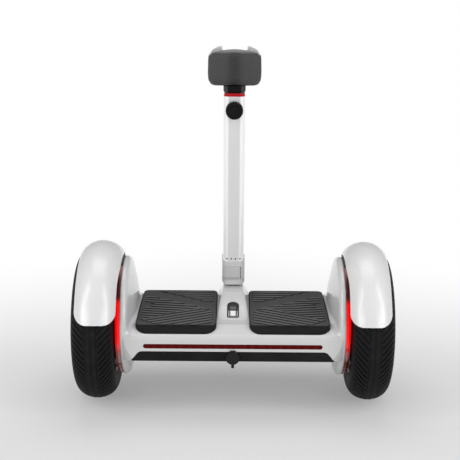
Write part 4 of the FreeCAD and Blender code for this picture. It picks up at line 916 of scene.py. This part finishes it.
# Neck and crown of the head
# A black flared neck, with a painted highlight down each flank, runs up into the pad.
# Two arms through the pad carry a grey shell, whose two horns stand above the pad in front of it.

flank_highlight_x, flank_highlight_half = 0.0155, 0.0015

neck = Finish("neck_moulding", 0.003, 0.42, Specular_IOR_Level=0.13)
neck_rub = neck.cloud(22, 5)
# Painted highlight: a paler band down each flank of the neck.
painted_flank_highlight = abs(neck.axis("X")).band(flank_highlight_x, flank_highlight_half, 0.004)
neck_color = neck.tones(neck_rub.rise(0.35, 0.75), 0.0022, 0.0045)
neck.show(
    Base_Color=neck.tones(painted_flank_highlight, neck_color, (0.055, 0.055, 0.056)),
    Roughness=0.32 + neck_rub * 0.2,
    Normal=neck.relief(neck.cells(1500), 0.00015),
)
neck.dress("head_bracket")

crown = Finish("crown_moulding", (0.72, 0.72, 0.73), 0.42)
crown_haze = crown.cloud(25, 4)
crown.show(
    Base_Color=crown.tones(crown_haze, (0.66, 0.66, 0.665), (0.78, 0.78, 0.785)),
    Roughness=0.36 + crown_haze * 0.14,
    Normal=crown.relief(crown.cells(1500), 0.00012),
)
crown.dress("head_crown")


# Foot mats
# Dark grey rubber mats with slanted ribs on a smooth diagonal band; the rib tops are paler, partly worn and
# partly a painted highlight.
# Each stands on four posts over its pressure switches.

rib_foot_z, rib_shoulder_z, rib_crest_z = 0.1646, 0.1656, 0.16565
mat_side_z = 0.16405

mat = Finish("mat_ribbed", (0.055, 0.055, 0.058), 0.6, Specular_IOR_Level=0.18)
mat_z = mat.axis("Z")
rib_flank = mat_z.above(rib_foot_z, 0.0001) * mat_z.below(rib_shoulder_z, 0.0001)
# Rib tops paler: partly wear, partly painted highlight.
crest_wear_and_highlight = mat_z.above(rib_crest_z, 0.00015)
mat_wear = mat.cloud(28, 6)
mat_color = mat.tones(crest_wear_and_highlight * (0.7 + mat_wear * 0.3), (0.066, 0.066, 0.068), (0.125, 0.125, 0.128))
# Painted shade: the rib flanks and the mat's sides below the plate are darkened.
mat_shade = (rib_flank * 0.9).math("MAXIMUM", mat_z.below(mat_side_z, 0.00025))
mat.show(
    Base_Color=mat.tones(mat_shade, mat_color, (0.007, 0.007, 0.008)),
    Roughness=0.50 + mat_wear * 0.2,
    Normal=mat.relief(mat.cells(900), 0.0002),
)
mat.dress("foot_mat_left", "foot_mat_right")


# Knee pad
# Foam with a dark grey grained cover, moulded over the neck's core: two lobes and a shallow valley.
# A seam runs round it just under its crowned top. The cover is blown up like cloth over the foam.

pad_seam_z = 0.5995
pad_fit = Vector((1.005, 0.985, 0.99))
pad_voxel = 0.004
pad_pressure, pad_steps, pad_swell = 4, 20, 0.0025
valley_half, valley_floor = 0.018, 0.003
crown_from, crown_full = 0.001, 0.006


def applied(piece):
    """Works the piece's modifiers into its mesh."""
    shape = piece.evaluated_get(bpy.context.evaluated_depsgraph_get())
    mesh = bpy.data.meshes.new_from_object(shape)
    piece.modifiers.clear()
    piece.data = mesh


pad = bpy.data.objects.new("pad_cover", merged_copy("knee_pad", "pad_cover"))
bpy.context.scene.collection.objects.link(pad)
remesh = pad.modifiers.new("Remesh", "REMESH")
remesh.mode = "VOXEL"
remesh.voxel_size = pad_voxel
applied(pad)
pad_low, pad_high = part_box("knee_pad")
pad_centre = (pad_low + pad_high) / 2
for vertex in pad.data.vertices:
    vertex.co = pad_centre + (vertex.co - pad_centre) * pad_fit
pad_start = [vertex.co.copy() for vertex in pad.data.vertices]

cloth = pad.modifiers.new("Cloth", "CLOTH")
cloth.settings.use_pressure = True
cloth.settings.uniform_pressure_force = pad_pressure
cloth.settings.effector_weights.gravity = 0
scene = bpy.context.scene
for number in range(1, pad_steps + 1):
    scene.frame_set(number)
applied(pad)
scene.frame_set(1)
for vertex, start in zip(pad.data.vertices, pad_start):
    shift = vertex.co - start
    if shift.length > pad_swell:
        vertex.co = start + shift.normalized() * pad_swell

rounding = pad.modifiers.new("Subdivision", "SUBSURF")
rounding.levels = rounding.render_levels = 1
applied(pad)

leather = Finish("pad_grain", (0.05, 0.05, 0.052), 0.5, Sheen_Weight=0.05, Specular_IOR_Level=0.3)
leather_z = leather.axis("Z")
creases = leather.cells(620, "DISTANCE_TO_EDGE").rise(0.0, 0.12)
soft_haze = leather.cloud(30, 5)
seam = leather_z.band(pad_seam_z, 0.0005, 0.0004)
# Painted shade: the cover is darker down the shallow valley between the lobes.
painted_valley_shade = abs(leather.axis("X")).rise(valley_half, valley_floor)
# Painted highlight: the cover's top above the seam is paler.
painted_crown_highlight = leather_z.rise(pad_seam_z + crown_from, pad_seam_z + crown_full)
leather_color = leather.tones(creases * 0.6 + soft_haze * 0.4, (0.040, 0.040, 0.042), (0.066, 0.066, 0.068))
leather_color = leather.tones(painted_valley_shade * 0.75, leather_color, (0.022, 0.022, 0.023))
leather_color = leather.tones(painted_crown_highlight, leather_color, (0.24, 0.24, 0.245))
leather.show(
    Base_Color=leather.tones(seam * 0.7, leather_color, (0.02, 0.02, 0.021)),
    Roughness=0.44 + soft_haze * 0.16,
    Normal=leather.relief(creases, 0.00018, leather.relief(1 - seam, 0.0006)),
)
pad.data.materials.clear()
pad.data.materials.append(leather.material)
pad.data.shade_smooth()
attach(pad, "head")
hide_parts("knee_pad")


# Floor, studio light and camera
# A pale floor that fades into a white backdrop, with the photograph's viewpoint.
# One soft lamp hangs above, and two stand on each side behind the scooter.

floor_half = 30
floor_grey, fill_strength = 0.74, 0.34
behind_start, behind_end = -0.05, 0.75
far_start, far_end = 0.7, 1.8
lamp_aim = (0, 0, 0.25)
sensor_width = 36
photo_width, focal_pixels = 460, 1071.66
camera_distance, camera_height = 1.76588, 0.85187
pitch, yaw, roll = 0.3005, -0.0035, 0.0059

floor_mesh = bpy.data.meshes.new("studio_floor")
floor_corners = [(floor_half * a, floor_half * b, 0) for a, b in ((-1, -1), (1, -1), (1, 1), (-1, 1))]
floor_mesh.from_pydata(floor_corners, [], [(0, 1, 2, 3)])
floor = bpy.data.objects.new("studio_floor", floor_mesh)
bpy.context.scene.collection.objects.link(floor)
paper = Finish("floor_paper", floor_grey, 0.9, Specular_IOR_Level=0.0)
paper_x, paper_y = paper.axis("X"), paper.axis("Y")
white = paper.node("ShaderNodeEmission", {}, {"Color": (1, 1, 1, 1), "Strength": 1.0})
in_camera = paper.node("ShaderNodeLightPath", output="Is Camera Ray")
in_gloss = paper.node("ShaderNodeLightPath", output="Is Glossy Ray")
behind = (paper_y * 0.8 + abs(paper_x) * 0.3).rise(behind_start, behind_end)
far_off = reach(paper_x, paper_y).rise(far_start, far_end)
fade = (behind.math("MAXIMUM", far_off) * 0.8 + 0.2) * in_camera.math("MAXIMUM", in_gloss)
surface = paper.node("ShaderNodeMixShader", {}, {0: fade, 1: Wire(paper, paper.shader.outputs[0]), 2: white})
paper.tree.links.new(surface.socket, paper.tree.nodes["Material Output"].inputs["Surface"])
floor.data.materials.append(paper.material)

world = bpy.data.worlds.new("studio")
bpy.context.scene.world = world
world.use_nodes = True
sky = world.node_tree
sky.nodes.clear()
path = sky.nodes.new("ShaderNodeLightPath")
choose = sky.nodes.new("ShaderNodeMixShader")
out = sky.nodes.new("ShaderNodeOutputWorld")
sky.links.new(path.outputs["Is Camera Ray"], choose.inputs[0])
for socket, strength in ((1, fill_strength), (2, 1)):
    light = sky.nodes.new("ShaderNodeBackground")
    light.inputs["Color"].default_value = (1, 1, 1, 1)
    light.inputs["Strength"].default_value = strength
    sky.links.new(light.outputs[0], choose.inputs[socket])
sky.links.new(choose.outputs[0], out.inputs["Surface"])


def soft_lamp(name, place, aim, width, height, power):
    """A rectangular lamp that looks at its aim."""
    light = bpy.data.lights.new(name, "AREA")
    light.shape = "RECTANGLE"
    light.size, light.size_y = width, height
    light.energy = power
    lamp = bpy.data.objects.new(name, light)
    lamp.location = place
    lamp.rotation_euler = (Vector(aim) - Vector(place)).to_track_quat("-Z", "Y").to_euler()
    bpy.context.scene.collection.objects.link(lamp)


soft_lamp("top_lamp", (0, 0.4, 2.0), (0, 0, 0.2), width=1.5, height=1.0, power=8)
for side, sign in (("left", -1), ("right", 1)):
    place = (sign * 1.95, -1.95, 0.95)
    soft_lamp("front_" + side + "_lamp", place, lamp_aim, width=1.4, height=1.2, power=18)
for side, sign in (("left", -1), ("right", 1)):
    place = (sign * 1.75, -0.95, 1.45)
    soft_lamp(side + "_lamp", place, lamp_aim, width=0.55, height=2.2, power=16)

ahead = Vector((math.sin(yaw) * math.cos(pitch), math.cos(yaw) * math.cos(pitch), -math.sin(pitch)))
level = Vector((math.cos(yaw), -math.sin(yaw), 0))
upright = level.cross(ahead)
right = math.cos(roll) * level + math.sin(roll) * upright
up = -math.sin(roll) * level + math.cos(roll) * upright
camera_data = bpy.data.cameras.new("photo_camera")
camera_data.sensor_width = sensor_width
camera_data.lens = sensor_width * focal_pixels / photo_width
camera = bpy.data.objects.new("photo_camera", camera_data)
camera.matrix_world = Matrix((
    (right.x, up.x, -ahead.x, 0), (right.y, up.y, -ahead.y, -camera_distance),
    (right.z, up.z, -ahead.z, camera_height), (0, 0, 0, 1),
))
bpy.context.scene.collection.objects.link(camera)
bpy.context.scene.camera = camera
bpy.context.scene.view_settings.view_transform = "Standard"
